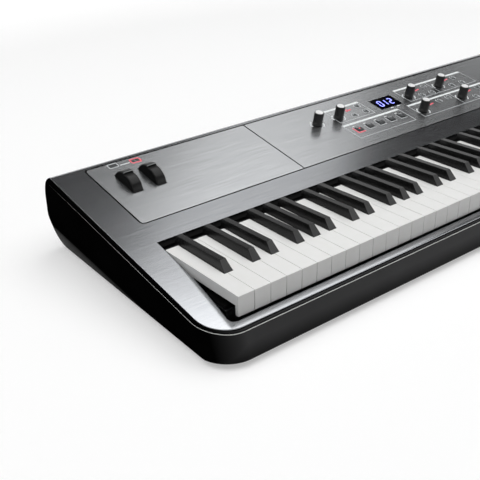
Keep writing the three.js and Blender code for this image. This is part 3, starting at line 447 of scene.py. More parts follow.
def cadCopy(nodeName, width, segments=3, angle=30, splitY=None, shaping=None):
    # the node's own form with its edges rounded by width mm
    bm = meshCopy(frame["nodes"][nodeName].data)
    bmesh.ops.remove_doubles(bm, verts=bm.verts, dist=2e-6)
    bmesh.ops.dissolve_limit(bm, angle_limit=math.radians(0.5), verts=bm.verts, edges=bm.edges)
    if shaping:
        shaping(bm)
    limit = math.radians(angle)
    sharp = [e for e in bm.edges if len(e.link_faces) == 2 and e.calc_face_angle(0) > limit]
    bmesh.ops.bevel(bm, geom=sharp, offset=width / 1000, segments=segments, affect="EDGES",
                    profile=0.5, clamp_overlap=True)
    # faces with holes in them would be filled wrongly later
    bmesh.ops.triangulate(bm, faces=[f for f in bm.faces if len(f.verts) > 4], ngon_method="BEAUTY")
    if splitY is not None:
        splitAt(bm, splitY, 1e-6)
    return meshFrom(bm, nodeName)


def dressNode(nodeName, material):
    node = frame["nodes"][nodeName]
    node.data.materials.clear()
    node.data.materials.append(material)


def boxTool(left, right, front, back, low, high, radius=0.0):
    bm = bmesh.new()
    bmesh.ops.create_cube(bm, size=1)
    middle = Matrix.Translation(((left + right) / 2, (front + back) / 2, (low + high) / 2))
    size = Matrix.Diagonal((right - left, back - front, high - low, 1))
    bmesh.ops.transform(bm, verts=bm.verts, matrix=middle @ size)
    if radius:
        along = [e for e in bm.edges if abs((e.verts[0].co - e.verts[1].co).y) > 0.5 * (back - front)]
        bmesh.ops.bevel(bm, geom=along, offset=radius, segments=5, affect="EDGES", profile=0.5)
    return meshFrom(bm, "boxTool", keyMatrix)


def cutAway(mesh, tools):
    # the mesh with each tool's space taken out
    thing = newObject("cut", mesh)
    cutters = [newObject("cutter", tool) for tool in tools]
    for cutter in cutters:
        cut = thing.modifiers.new("cut", "BOOLEAN")
        cut.operation = "DIFFERENCE"
        cut.solver = "EXACT"
        cut.object = cutter
    made = evaluatedMesh(thing)
    for cutter in cutters:
        bpy.data.objects.remove(cutter)
    return made


# case

case = {
    "wall": 5.0, "innerWall": 5.5, "bottom": -67.0, "floor": 3.0,
    "sideMargin": 45.4, "rimDrop": 1.2, "rimRound": 0.5, "frontRadius": 41.0, "backRadius": 6.0,
    "frontY": -28.5, "frontLean": 10.9, "frontTuck": 6.5, "tuckHeight": 5.0, "frontTopZ": -32.5,
    "backY": 357.53, "rollTopY": 341.63, "rollTopZ": 37.48, "rollHeight": 29.5, "heelRadius": 21.0,
    "creaseDrop": 59.4, "creaseSlope": 0.1245, "bevelDegrees": 15.5, "sideTuck": 1.5, "leastRadius": 0.5,
    "seamFront": 1.3, "seamSide": 5.0, "seamRun": 60.0, "seamStep": 1.1, "bead": 0.75,
    "lipDrop": 0.4, "lipFrom": -5.0, "lipRun": 9.0, "seat": 2.0, "seatDepth": 5.0, "ledge": 4.0,
    # at the back the cover rolls down, so bead, step and rim nearly vanish there
    "rollReach": 12.0, "sliver": 0.02, "backRound": 0.05, "backSeat": 0.6,
    "cornerSteps": 18, "backSteps": 6, "lowSteps": 14, "highSteps": 22, "beadSteps": 4, "landSteps": 4,
    "rimSteps": 6, "wallSteps": 8, "crowding": 1.5, "settling": 12,
}
# both shell plastics carry painted shade: darker and duller towards the case's ends and its bottom
caseAbs = shellPlastic("blackMouldedAbs", "2B2B2C", "313132", "050505", "080808", 0.4)
rimAbs = shellPlastic("rimMouldedAbs", "0A0A0B", "0F0F10", "040404", "070707", 0.2)


def deckHeight(y, drop=0.0):
    return -layout["deckDrop"] + y * math.tan(slope) - drop / math.cos(slope)


def creaseHeight(y):
    return -case["creaseDrop"] + case["creaseSlope"] * y


def roundDip(share):
    # how far a quarter circle of radius 1 has dropped at this share of its run
    return 1 - math.sqrt(1 - share ** 2)


def caseOutline(z, inset):
    # outline of the case at height z, as many points at each height
    c = case
    tuckTop = c["bottom"] + c["tuckHeight"]
    tuck = roundDip(1 - min((z - c["bottom"]) / c["tuckHeight"], 1))
    if z < tuckTop:
        front = c["frontY"] + c["frontTuck"] * tuck
    else:
        front = c["frontY"] + c["frontLean"] * (z - tuckTop) / (c["frontTopZ"] - tuckTop)
    heel = roundDip(1 - min((z - c["bottom"]) / c["heelRadius"], 1))
    rollFoot = c["rollTopZ"] - c["rollHeight"]
    roll = roundDip(limited((z - rollFoot) / (c["rollHeight"] - inset)))
    back = c["backY"] - inset - c["heelRadius"] * heel - (c["backY"] - c["rollTopY"] - inset) * roll
    side = inset + c["sideTuck"] * tuck
    left = -c["sideMargin"] + side
    right = keyboardWidth + c["sideMargin"] - side
    r = c["frontRadius"] - inset
    s = max(c["backRadius"] - inset, c["leastRadius"])
    lean = math.tan(math.radians(c["bevelDegrees"]))
    outline = []
    for x, y in quarterArcs([
        (right - r, front + inset + r, r, 3, c["cornerSteps"]),
        (right - s, back - s, s, 0, c["backSteps"]),
        (left + s, back - s, s, 1, c["backSteps"]),
        (left + r, front + inset + r, r, 2, c["cornerSteps"]),
    ]):
        cut = inset - c["sideMargin"] + max(0, (creaseHeight(y) - z) * lean)
        outline.append((limited(x, cut, keyboardWidth - cut), y))
    return outline


def roundOver(wall, inward, radius, steps):
    # quarter circle from the top of a wall up and inward
    points = []
    for step in range(1, steps + 1):
        angle = step / steps * math.pi / 2
        spot = wall + inward * radius * (1 - math.cos(angle))
        points.append((spot.x, spot.y, wall.z + radius * math.sin(angle)))
    return points


def caseColumn(i):
    # section through the case at one point of its outline: up the outside, over the rim and down inside
    c = case
    top = 0.0
    crease = c["bottom"]
    for _ in range(c["settling"]):
        y = caseOutline(top, 0)[i][1]
        lip = c["lipDrop"] * limited((c["lipFrom"] - y) / c["lipRun"])
        top = min(deckHeight(y, c["rimDrop"] + lip), c["rollTopZ"])
        crease = creaseHeight(caseOutline(crease, 0)[i][1])
    rolled = deckHeight(y, c["rimDrop"]) > c["rollTopZ"] - 2 * c["rimRound"]
    onBack = rolled and y > c["rollTopY"] - c["rollReach"]
    radius = c["backRound"] if onBack else c["rimRound"]
    along = limited((y - c["frontY"]) / c["seamRun"])
    seam = top - c["seamFront"] - (c["seamSide"] - c["seamFront"]) * along
    bead = c["sliver"] if onBack else c["bead"] * (1 - 0.5 * along)
    seamStep = c["sliver"] if onBack else c["seamStep"]
    low = [(k / c["lowSteps"]) ** c["crowding"] for k in range(c["lowSteps"])]
    high = [1 - (1 - k / c["highSteps"]) ** c["crowding"] for k in range(c["highSteps"] + 1)]
    heights = [c["bottom"] + (crease - c["bottom"]) * share for share in low]
    heights += [crease + (seam - bead - crease) * share for share in high]
    column = [(*caseOutline(z, 0)[i], z) for z in heights]
    wall = Vector(column[-1])
    inner = Vector((*caseOutline(wall.z, c["wall"])[i], wall.z))
    inward = (inner - wall).normalized()
    column += roundOver(wall, inward, bead, c["beadSteps"])
    foot = wall + inward * seamStep
    column.append((foot.x, foot.y, seam))
    for k in range(1, c["landSteps"] + 1):
        z = seam + (top - radius - seam) * k / c["landSteps"]
        column.append((*caseOutline(z, seamStep)[i], z))
    wall = Vector(column[-1])
    column += roundOver(wall, inward, radius, c["rimSteps"])
    seat = c["backSeat"] if onBack else c["seat"]
    seatLow = top - c["seatDepth"]
    for reach, z in ((seat, top), (seat, seatLow), (seat + c["ledge"], seatLow)):
        spot = wall + inward * reach
        column.append((spot.x, spot.y, z))
    for k in range(1, c["wallSteps"] + 1):
        share = k / c["wallSteps"]
        z = (seatLow - c["wall"]) * (1 - share) + (c["bottom"] + c["floor"]) * share
        column.append((*caseOutline(z, c["innerWall"])[i], z))
    return column


def caseMesh():
    c = case
    count = 2 * (c["cornerSteps"] + c["backSteps"] + 2)
    bm = bmesh.new()
    columns = [[bm.verts.new(p) for p in caseColumn(i)] for i in range(count)]
    # the bead comes after the outside and gets a light grey as a painted highlight, the rim after the bead,
    # with its foot and the two sides of the seat
    beadStart = c["lowSteps"] + c["highSteps"]
    rimStart = beadStart + c["beadSteps"]
    rimEnd = rimStart + c["landSteps"] + c["rimSteps"] + 3
    for low, high in zip(columns, columns[1:] + columns[:1]):
        for k in range(len(low) - 1):
            face = bm.faces.new((low[k], high[k], high[k + 1], low[k + 1]))
            if beadStart <= k < rimStart:
                face.material_index = 2
            elif rimStart <= k < rimEnd:
                face.material_index = 1
    bm.faces.new([column[0] for column in reversed(columns)])
    bm.faces.new([column[-1] for column in columns])
    return closedMesh(bm, "caseShell", keyMatrix)


rear = {
    # left, width, bottom, height and corner radius of each opening in the back wall
    "sockets": (700.0, 250.0, -41.0, 24.0, 2.5),
    "inlet": (1015.0, 13.0, -35.5, 13.0, 1.5),
    "switch": (1050.0, 13.0, -38.5, 19.0, 1.0),
    "cutBehind": 20.0, "cutInside": 2.0,
}


def makeCase():
    outside = case["backY"] + rear["cutBehind"]
    inside = case["backY"] - case["wall"] - rear["cutInside"]
    windows = []
    for opening in ("sockets", "inlet", "switch"):
        left, width, low, height, radius = rear[opening]
        windows.append(boxTool(left, left + width, inside, outside, low, low + height, radius))
    shell = caseMesh()
    plastics = [caseAbs, rimAbs, beadPaintedHighlight]
    for each in plastics:
        shell.materials.append(each)
    newPiece("case_shell", cutAway(shell, windows), plastics, caseBody, ["bottom_case"], 24)


makeCase()
print("case made")


# cover and panels

cover = {
    "thickness": 3.0, "sheetEdge": 0.05, "sideMargin": 42.4, "front": -14.0, "back": 347.0,
    "frontRadius": 38.0, "backRadius": 3.0,
    "lipLine": 157.9, "sideGap": 0.5, "flare": 10.3, "flareStart": 109.0, "flarePower": 1.6, "flareSteps": 22,
    "wellFront": -3.0, "wellCorner": 8.0, "wellSteps": 8,
    "panelInset": 3.7, "panelFront": 197.0, "panelBack": 340.0, "panelRadius": 7.0, "squareRadius": 0.4,
    "groove": 2.3, "divide": 2.1, "sidePanel": 273.8, "panelThickness": 1.5, "panelEdge": 0.2,
    # hems: how far the sheet bends down at the well's sides and at its lip, and where one becomes the other
    "sideHem": 2.2, "lipHem": 2.6, "hemDepth": 2.9, "hemSteps": 8, "hemOverlap": 0.01,
    "lipFrom": 26.0, "lipRun": 28.0, "hemEnd": 8.0, "hemFade": 40.0, "leastHem": 0.02,
    "sideEdge": 0.35, "frontEdge": 0.9,
    # the back edge rolls down behind rollLine, the lip bows down in front of bowLine
    "rollLine": 341.2, "rollDrop": 0.035, "rollStep": 1.4, "rollCuts": 4,
    "bowLine": -5.0, "bowDrop": 0.005, "bowStep": 0.9, "bowCuts": 9,
    "ledge": 5.0, "ledgeThickness": 1.1, "ledgeTop": -1.85, "overlap": 1.0, "bayGap": 6.0,
}
panelRight = keyboardWidth - cover["panelInset"]
firstDivide = cover["panelInset"] + cover["sidePanel"]
secondDivide = panelRight - cover["sidePanel"]
panelDepth = cover["panelBack"] - cover["panelFront"]


def wellOutline():
    c = cover
    reach = c["flareStart"] - c["wellFront"] - c["wellCorner"]
    left = [(-c["sideGap"], c["lipLine"])]
    for step in range(c["flareSteps"] + 1):
        run = step / c["flareSteps"]
        flare = c["flare"] * (run * reach / c["flareStart"]) ** c["flarePower"]
        left.append((-c["sideGap"] - flare, c["flareStart"] - run * reach))
    cornerX, cornerY = left[-1]
    for step in range(1, c["wellSteps"] + 1):
        t = step / c["wellSteps"]
        left.append((cornerX + c["wellCorner"] * t * t, cornerY - c["wellCorner"] * (2 * t - t * t)))
    return left + [(keyboardWidth - x, y) for x, y in reversed(left)]


def wellHem():
    # each point of the well's outline, the way into the sheet and how far the edge bends there
    c = cover
    points = [Vector(p) for p in wellOutline()]
    hems = []
    for i, p in enumerate(points):
        ahead = (points[min(i + 1, len(points) - 1)] - points[max(i - 1, 0)]).normalized()
        nearLip = limited((c["lipFrom"] - p.y) / c["lipRun"])
        radius = c["sideHem"] + (c["lipHem"] - c["sideHem"]) * nearLip
        radius *= limited((c["lipLine"] - c["hemEnd"] - p.y) / c["hemFade"], c["leastHem"])
        hems.append((p, Vector((ahead.y, -ahead.x)), radius))
    return hems


def rimHem():
    # the same for the sheet's own rim: well rounded in front, nearly square at the sides and back
    c = cover
    radii = (c["frontRadius"], c["backRadius"], c["backRadius"], c["frontRadius"])
    margin = c["sideMargin"]
    points = [Vector(p) for p in rounded(-margin, keyboardWidth + margin, c["front"], c["back"], radii, 24)]
    hems = []
    for i, p in enumerate(points):
        ahead = (points[(i + 1) % len(points)] - points[i - 1]).normalized()
        inward = Vector((-ahead.y, ahead.x))
        radius = c["sideEdge"] + (c["frontEdge"] - c["sideEdge"]) * max(inward.y, 0)
        hems.append((p, inward, radius))
    return hems


def hemMesh(hems, closed=False):
    c = cover
    bm = bmesh.new()
    rows = []
    for p, inward, radius in hems:
        row = []
        for step in range(c["hemSteps"] + 1):
            angle = step / c["hemSteps"] * math.pi / 2
            spot = p + inward * radius * (1 - math.sin(angle))
            drop = min(radius, c["hemDepth"]) * (1 - math.cos(angle))
            row.append(bm.verts.new((spot.x, spot.y, -drop)))
        for spot in (p, p + inward * radius):
            row.append(bm.verts.new((spot.x, spot.y, -c["thickness"])))
        rows.append(row)
    for a, b in zip(rows, rows[1:] + rows[:1] if closed else rows[1:]):
        for k in range(len(a)):
            m = (k + 1) % len(a)
            bm.faces.new((a[k], a[m], b[m], b[k]))
    if not closed:
        bm.faces.new(rows[0])
        bm.faces.new(list(reversed(rows[-1])))
    return closedMesh(bm, "hem")


def darkenWalls(mesh, steepest, inside=lambda x, y, z: True):
    # the upright sides of a sheet get its second material, a near black that is painted shade in the seams
    for face in mesh.polygons:
        face.material_index = 1 if abs(face.normal.z) < steepest and inside(*face.center) else 0


def makeCover():
    c = cover
    left, right, front, back = c["panelInset"], panelRight, c["panelFront"], c["panelBack"]
    over, edge, ledge, gap = c["overlap"], c["sheetEdge"], c["ledge"], c["bayGap"]
    outlines = [[tuple(p + inward * (radius + c["hemOverlap"])) for p, inward, radius in hems]
                for hems in (rimHem(), wellHem())]
    field = rounded(left, right, front, back, c["panelRadius"])
    sheet = sheetMesh(outlines + [field], c["thickness"], edge)
    darkenWalls(sheet, 0.4, lambda x, y, z: left - over < x < right + over and front - over < y < back + over)
    bays = [(left + ledge, firstDivide - gap), (firstDivide + gap, secondDivide - gap),
            (secondDivide + gap, right - ledge)]
    holes = [rounded(bayLeft, bayRight, front + ledge, back - ledge, 1) for bayLeft, bayRight in bays]
    outer = rounded(left - over, right + over, front - over, back + over, c["panelRadius"])
    # the shelf under the seams round the panels is near black as painted shade
    shelf = sheetMesh([outer] + holes, c["ledgeThickness"], edge, c["ledgeTop"])
    hems = [(hemMesh(wellHem()), 0), (hemMesh(rimHem(), True), 0)]
    bm = meshCopy(joined([(sheet, None), (shelf, 1)] + hems, "cover"))
    for line in ([c["rollLine"] + c["rollStep"] * i for i in range(c["rollCuts"])]
                 + [c["bowLine"] - c["bowStep"] * i for i in range(c["bowCuts"])]):
        splitAt(bm, line, 0.001)
    for vert in bm.verts:
        roll = c["rollDrop"] * max(vert.co.y - c["rollLine"], 0) ** 2
        vert.co.z -= roll + c["bowDrop"] * max(c["bowLine"] - vert.co.y, 0) ** 2
    whole = onDeck(meshFrom(bm, "cover"))
    newPiece("silver_cover", whole, [coverMetal, seamShade], caseBody, ["top_cover"])


def makePanel(name, node, left, right, leftRadius, rightRadius, holes):
    c = cover
    radii = (rightRadius, rightRadius, leftRadius, leftRadius)
    outline = rounded(left, right, c["panelFront"] + c["groove"], c["panelBack"] - c["groove"], radii, 8)
    mesh = sheetMesh([outline] + holes, c["panelThickness"], c["panelEdge"])
    darkenWalls(mesh, 0.3)
    newPiece(name, onDeck(mesh), [panelMetal, seamShade], caseBody, [node])


def onPanel(share):
    # place on the deck from shares of the main panel's width and depth
    width = secondDivide - firstDivide
    return (firstDivide + share[0] * width, cover["panelFront"] + share[1] * panelDepth)


controls = {
    "wheelFirst": 37.8, "wheelPitch": 36.7, "wheelLineShare": 0.622, "wheelWidth": 14.6,
    "slotGap": 0.5, "slotLength": 51.0, "slotRadius": 1.2,
    "knobShares": [(0.1582, 0.6224), (0.2271, 0.6224), (0.4738, 0.6154),
                   (0.596, 0.6434), (0.4483, 0.2797), (0.6027, 0.3007)],
    "knobNames": ["volume", "tone", "control_1", "control_2", "control_3", "control_4"], "knobShaft": 3.0,
    "programFirst": 0.2343, "programPitch": 0.0363, "programLine": 0.3287, "programCount": 5,
    "programSize": 11.0, "programHole": 1.0,
    "displayShare": (0.3943, 0.6413), "displaySize": (51.0, 32.0), "displayHole": 0.5,
    "roundRadius": 3.6,
    "mats": {
        "bank": [(0.3135, 0.7378), (0.3147, 0.5958), (0.2747, 0.5853)],
        "effect": [(0.5564, 0.7238), (0.5151, 0.5755), (0.5514, 0.5643)],
        "layer": [(0.6736, 0.7189), (0.6357, 0.5846), (0.6766, 0.5825)],
        "split": [(0.5304, 0.3727), (0.5679, 0.3818), (0.6914, 0.3965), (0.6444, 0.2385)],
    },
}
knobPlaces = [onPanel(share) for share in controls["knobShares"]]
programPlaces = [onPanel((controls["programFirst"] + i * controls["programPitch"], controls["programLine"]))
                 for i in range(controls["programCount"])]
matPlaces = {mat: [onPanel(share) for share in shares] for mat, shares in controls["mats"].items()}
displayPlace = onPanel(controls["displayShare"])
displayHalf = [size / 2 for size in controls["displaySize"]]
wheelLine = cover["panelFront"] + controls["wheelLineShare"] * panelDepth
wheelPlaces = [cover["panelInset"] + controls["wheelFirst"] + i * controls["wheelPitch"] for i in range(2)]


def makePanels():
    c = controls
    gap = layout["seatGap"]
    slotHalf = c["wheelWidth"] / 2 + c["slotGap"]
    slots = [roundedAt(x, wheelLine, slotHalf, c["slotLength"] / 2, c["slotRadius"], 5) for x in wheelPlaces]
    half = c["programSize"] / 2 + gap
    holes = [circle(*place, c["knobShaft"] + gap, 24) for place in knobPlaces]
    holes += [roundedAt(*place, half, half, c["programHole"], 4) for place in programPlaces]
    for places in matPlaces.values():
        holes += [circle(*place, c["roundRadius"] + gap, 28) for place in places]
    holes.append(roundedAt(*displayPlace, *(size + gap for size in displayHalf), c["displayHole"], 3))
    groove, divide = cover["groove"], cover["divide"] / 2
    corner, square = cover["panelRadius"] - groove, cover["squareRadius"]
    left, right = cover["panelInset"] + groove, panelRight - groove
    makePanel("left_plate", "left_panel", left, firstDivide - divide, corner, square, slots)
    makePanel("main_plate", "main_panel", firstDivide + divide, secondDivide - divide, square, square, holes)
    makePanel("right_plate", "right_panel", secondDivide + divide, right, square, corner, [])


makeCover()
makePanels()
print("cover and panels made")


# keys

keyShape = {
    "gapFill": 0.2, "sideDepth": 20.0, "noseEdge": 0.5, "cadEdge": 1.5, "near": 0.1,
    "whiteEdge": 0.3, "blackEdge": 0.6, "tailCut": 3.2, "frontFacing": -0.6,
}


def shapeWhite(bm):
    # closer to its neighbours than the solids are, with a crisper front edge
    fill, depth, edge, cadEdge, near = (keyShape[name] / 1000 for name in
                                        ("gapFill", "sideDepth", "noseEdge", "cadEdge", "near"))
    front = min(v.co.y for v in bm.verts)
    top = max(v.co.z for v in bm.verts)
    shifts = []
    for vert in bm.verts:
        sides = [face.normal.x for face in vert.link_faces if abs(face.normal.x) > 0.9]
        shifts.append(math.copysign(fill, sides[0]) if sides and vert.co.z > top - depth else 0)
    for vert, shift in zip(bm.verts, shifts):
        vert.co.x += shift
        if front + near < vert.co.y < front + cadEdge and vert.co.z > top - near:
            vert.co.y = front + edge
        elif vert.co.y < front + near and top - cadEdge < vert.co.z < top - near:
            vert.co.z = top - edge


def makeKeys():
    tailLine = (keyMatrix @ Vector((0, layout["whiteTopLength"] - keyShape["tailCut"], 0))).y
    for nodeName, slotName in slotOf.items():
        if slotName not in ("white_key", "black_key"):
            continue
        white = slotName == "white_key"
        edge = keyShape["whiteEdge"] if white else keyShape["blackEdge"]
        mesh = cadCopy(nodeName, edge, splitY=tailLine, shaping=shapeWhite if white else None)
        mesh.materials.clear()
        plastics = [whiteAcrylic, tailPlastic] if white else [blackKeyAbs, keyFrontSheen]
        piece = newPiece(nodeName + "_cap", mesh, plastics, bodyOf[nodeName], [nodeName], 30)
        for face in piece.data.polygons:
            # white keys are near black behind the tail line; black ones have a matt front, painted lighter
            # grey as a sheen
            second = face.center.y > tailLine - 1e-5 if white else face.normal.y < keyShape["frontFacing"]
            face.material_index = 1 if second else 0


makeKeys()
print("keys made")


# wheels

wheel = {
    "radius": 26.4, "axleDrop": 10.0, "hub": 6.0,
    # the tyre's rounded shoulder: in from the side, in from the crest
    "shoulder": [(0.0, 1.6), (0.2, 0.8), (0.7, 0.3), (1.5, 0.05)], "skin": 3.0,
    # angles from the crest in degrees, front side first: a hollow for the finger, then a step up to a ridge
    "step": 4.0, "line": 2.4, "ridge": [1, 2, 3.5], "behind": [10, 13, 16, 20], "coarse": 4,
    "hollow": 2.4, "hollowRun": 46.0, "ridgeRound": 0.4, "ridgeFrom": 1.2, "ridgeRun": 2.4, "ridgeEnd": 3.0,
}


def wheelMesh(x):
    w = wheel
    radius, step = w["radius"], w["step"]
    half = controls["wheelWidth"] / 2
    # profile across the rim, from one hub to the other
    cross = [(half, w["hub"])] + [(half - a, radius - b) for a, b in w["shoulder"]] + [(0.0, radius)]
    cross += [(-a, b) for a, b in reversed(cross[:-1])]
    lineStart = step - w["line"]
    angles = [*range(-180, 0, w["coarse"]), lineStart, step, *(step + a for a in w["ridge"]), *w["behind"],
              *range(24, 180, w["coarse"])]
    bm = bmesh.new()
    rings = []
    for away in angles:
        if away <= step:
            dip = w["hollow"] * max(1 - (step - away) / w["hollowRun"], 0)
        else:
            dip = w["ridgeRound"] * max(1 - (away - step - w["ridgeFrom"]) / w["ridgeRun"], 0)
        turn = math.radians(away)
        ring = []
        for offset, reach in cross:
            r = reach - (dip if reach > radius - w["skin"] else 0)
            place = (x + offset, wheelLine + r * math.sin(turn), -w["axleDrop"] + r * math.cos(turn))
            ring.append(bm.verts.new(place))
        rings.append(ring)
    # the tyre's sides, its bore and the step face before the ridge are near black as painted shade; the
    # ridge's rounded top is light grey as a painted highlight
    for away, low, high in zip(angles, rings, rings[1:] + rings[:1]):
        ridge = step < away < step + w["ridgeEnd"]
        for k in range(len(cross) - 1):
            face = bm.faces.new((low[k], low[k + 1], high[k + 1], high[k]))
            dark = k in (0, len(cross) - 2) or away == lineStart
            face.material_index = 1 if dark else 2 if ridge else 0
        bm.faces.new((low[-1], low[0], high[0], high[-1])).material_index = 1
    return closedMesh(bm, "wheel", deckMatrix)


for wheelName, wheelX in zip(("pitch_wheel", "mod_wheel"), wheelPlaces):
    newPiece(wheelName + "_tyre", wheelMesh(wheelX), [wheelGloss, wheelSide, wheelRidge], wheelName,
             [wheelName], 40)


# repeating details

def newTree(name, inputs):
    # geometry tree that has these inputs beside its geometry
    tree = bpy.data.node_groups.new(name, "GeometryNodeTree")
    for label, kind in [("Geometry", "Geometry"), *inputs.items()]:
        tree.interface.new_socket(name=label, in_out="INPUT", socket_type="NodeSocket" + kind)
    tree.interface.new_socket(name="Geometry", in_out="OUTPUT", socket_type="NodeSocketGeometry")
    return tree, addNode(tree, "NodeGroupInput").outputs


def copied(tree, points, piece, angle):
    spots = {"Points": points, "Instance": piece, "Rotation": angle}
    return addNode(tree, "GeometryNodeInstanceOnPoints", links=spots)


def finishTree(tree, copies, material):
    real = addNode(tree, "GeometryNodeRealizeInstances", links={"Geometry": copies})
    coat = addNode(tree, "GeometryNodeSetMaterial", {"Material": material}, {"Geometry": real})
    addNode(tree, "NodeGroupOutput", links={"Geometry": coat})
    return tree


def ribTree(material):
    # ribs around a cylinder
    tree, given = newTree("gripRibs", {"Count": "Int", "Radius": "Float", "Rib Width": "Float",
                                       "Rib Depth": "Float", "Rib Height": "Float", "Lift": "Float"})
    ringSize = {"Vertices": given["Count"], "Radius": given["Radius"]}
    ring = addNode(tree, "GeometryNodeMeshCircle", links=ringSize)
    sides = {"X": given["Rib Depth"], "Y": given["Rib Width"], "Z": given["Rib Height"]}
    size = addNode(tree, "ShaderNodeCombineXYZ", links=sides)
    corners = {"Vertices X": 2, "Vertices Y": 2, "Vertices Z": 2}
    rib = addNode(tree, "GeometryNodeMeshCube", corners, {"Size": size})
    place = addNode(tree, "GeometryNodeInputPosition")
    angle = addNode(tree, "FunctionNodeAlignRotationToVector", {"axis": "X"}, {"Vector": place})
    copies = copied(tree, ring, rib, angle)
    up = addNode(tree, "ShaderNodeCombineXYZ", links={"Z": given["Lift"]})
    lifted = addNode(tree, "GeometryNodeTransform", links={"Geometry": copies, "Translation": up})
    return finishTree(tree, lifted, material)


def scatterTree(name, thing, material):
    # copies of one piece on the points given, each turned by chance about the upright axis
    tree, given = newTree(name, {"Seed": "Int", "Largest Turn": "Float"})
    piece = addNode(tree, "GeometryNodeObjectInfo", {"Object": thing}).outputs["Geometry"]
    chance = addNode(tree, "FunctionNodeRandomValue", {"data_type": "FLOAT"},
                     {3: given["Largest Turn"], "Seed": given["Seed"]})
    turn = addNode(tree, "ShaderNodeCombineXYZ", links={"Z": chance.outputs[1]})
    angle = addNode(tree, "FunctionNodeEulerToRotation", links={"Euler": turn})
    return finishTree(tree, copied(tree, given["Geometry"], piece, angle), material)


def grownMesh(tree, values, start=None):
    # the tree's result for these input values, as a plain mesh in mm
    holder = newObject("grown", start or bpy.data.meshes.new("grown"))
    made = holder.modifiers.new("grown", "NODES")
    made.node_group = tree
    for socket in tree.interface.items_tree:
        if socket.in_out == "INPUT" and socket.name in values:
            made[socket.identifier] = values[socket.name]
    return evaluatedMesh(holder)


def scattered(name, pieceMesh, points, material, values):
    piece = bpy.data.objects.new(name + "One", pieceMesh)
    cloud = bpy.data.meshes.new(name)
    cloud.from_pydata(points, [], [])
    mesh = grownMesh(scatterTree(name, piece, material), values, cloud)
    bpy.data.objects.remove(piece)
    return mesh


# knobs

knob = {
    # half sections: radius and height over the panel, from the axis out and back to it
    "body": [(0, -10.6), (3.0, -10.6), (3.0, 0.8), (7.4, 0.8), (7.8, 1.2), (7.8, 4.6), (7.3, 5.2),
             (7.1, 20.5), (0, 20.5)],
    "cap": [(0, 20.4), (6.1, 20.4), (6.12, 20.9), (5.8, 21.3), (5.4, 21.4), (4.6, 21.28), (0, 21.1)],
    # left, right, front and back of the pointer line
    "pointer": (-0.35, 0.35, 2.6, 5.0), "pointerTop": 21.32,
    "ribs": {"Count": 28, "Radius": 7.15, "Rib Width": 0.6, "Rib Depth": 0.5, "Rib Height": 13.4,
             "Lift": 12.4},
}
inlay = {"thickness": 0.3, "edge": 0.05}


def makeKnobs():
    pointer = sheetMesh([rounded(*knob["pointer"], 0.2, 3)], *inlay.values(), knob["pointerTop"])
    parts = [(latheMesh(knob["body"]), 0), (latheMesh(knob["cap"]), 1),
             (grownMesh(ribTree(knobAbs), knob["ribs"]), 0), (pointer, 2)]
    for name, place in zip(controls["knobNames"], knobPlaces):
        mesh = onDeck(joined(parts, name), place)
        node = name + "_knob"
        newPiece(node + "_grip", mesh, [knobAbs, knobCapLacquer, greyInk], node, [node], 32)


makeKnobs()
print("wheels and knobs made")


# buttons

button = {
    "rise": 1.2, "height": 4.4, "edge": 0.5, "radius": 1.2,
    "flange": 1.0, "flangeThickness": 1.1, "flangeTop": -1.85,
    "stem": [(0, -6.4), (3, -6.4), (3, -2.5), (0, -2.5)],
    # light bar: in from the sides, and its front and back in from the back edge
    "lampInset": 1.2, "lampFront": 2.6, "lampBack": 1.4, "lampRise": 0.08, "dotRadius": 1.2, "dotRise": 0.1,
    # half section of a round button, with the light ring between two radii on its upper part
    "dome": [(0, -1.0), (3.62, -1.0), (3.62, 0.65), (3.35, 1.0), (2.6, 1.12), (2.45, 0.9), (0, 1.05)],
    "ringInside": 2.5, "ringOutside": 3.7, "ringFrom": 0.6, "webEdge": 0.15,
}


def makeProgramButtons():
    b = button
    half = controls["programSize"] / 2
    reach = half + b["flange"]
    cap = sheetMesh([roundedAt(0, 0, half, half, b["radius"], 5)], b["height"], b["edge"], b["rise"])
    flange = sheetMesh([roundedAt(0, 0, reach, reach, 1, 3)], b["flangeThickness"], 0.1, b["flangeTop"])
    side = half - b["lampInset"]
    bar = rounded(-side, side, half - b["lampFront"], half - b["lampBack"], 0.5, 4)
    lamp = sheetMesh([bar], *inlay.values(), b["rise"] + b["lampRise"])
    dot = sheetMesh([circle(0, 0, b["dotRadius"], 20)], *inlay.values(), b["rise"] + b["dotRise"])
    parts = [(cap, 0), (flange, 0), (latheMesh(b["stem"], 12), 0), (lamp, 1)]
    for i, place in enumerate(programPlaces):
        # only the first one is lit
        mesh = onDeck(joined(parts + [(dot, 3 if i else 2)], "program"), place)
        node = "program_button_%d" % (i + 1)
        newPiece(node + "_cap", mesh, [buttonRubber, ringPlastic, lampGlow, dullLamp], node,
                 [node], 40)


def makeMats():
    b = button
    dome = latheMesh(b["dome"], 32)
    inverse = deckMatrix.inverted()
    for name, places in matPlaces.items():
        node = name + "_button_mat"
        web = cadCopy(node, b["webEdge"], 1, 40)
        mesh = joined([(web, 0)] + [(onDeck(dome.copy(), place), None) for place in places], node)
        piece = newPiece(node + "_caps", mesh, [buttonRubber, ringPlastic], node, [node], 40)
        for face in piece.data.polygons:
            spot = inverse @ face.center
            for x, s in places:
                onRing = b["ringInside"] < math.hypot(spot.x - x, spot.y - s) < b["ringOutside"]
                if onRing and spot.z > b["ringFrom"]:
                    face.material_index = 1


makeProgramButtons()
makeMats()
print("buttons made")


# display

display = {
    "depth": 5.6, "edge": 0.25, "radius": 0.6, "sink": 0.1,
    "digitHeight": 15.6, "digitWidth": 6.9, "slant": 0.14, "jointGap": 0.25,
    # each digit and its middle, measured from the window's middle
    "digits": [("0", -12.4), ("1", -2.8), ("2", 11.8)],
    # stroke, lift over the panel and material of the two layers: the glow and the bright core on it
    "layers": {"glow": (3.3, 0.0, segmentGlow), "core": (1.15, 0.04, segmentCore)},
}
segmentsOf = {"0": "abcdef", "1": "bc", "2": "abged"}


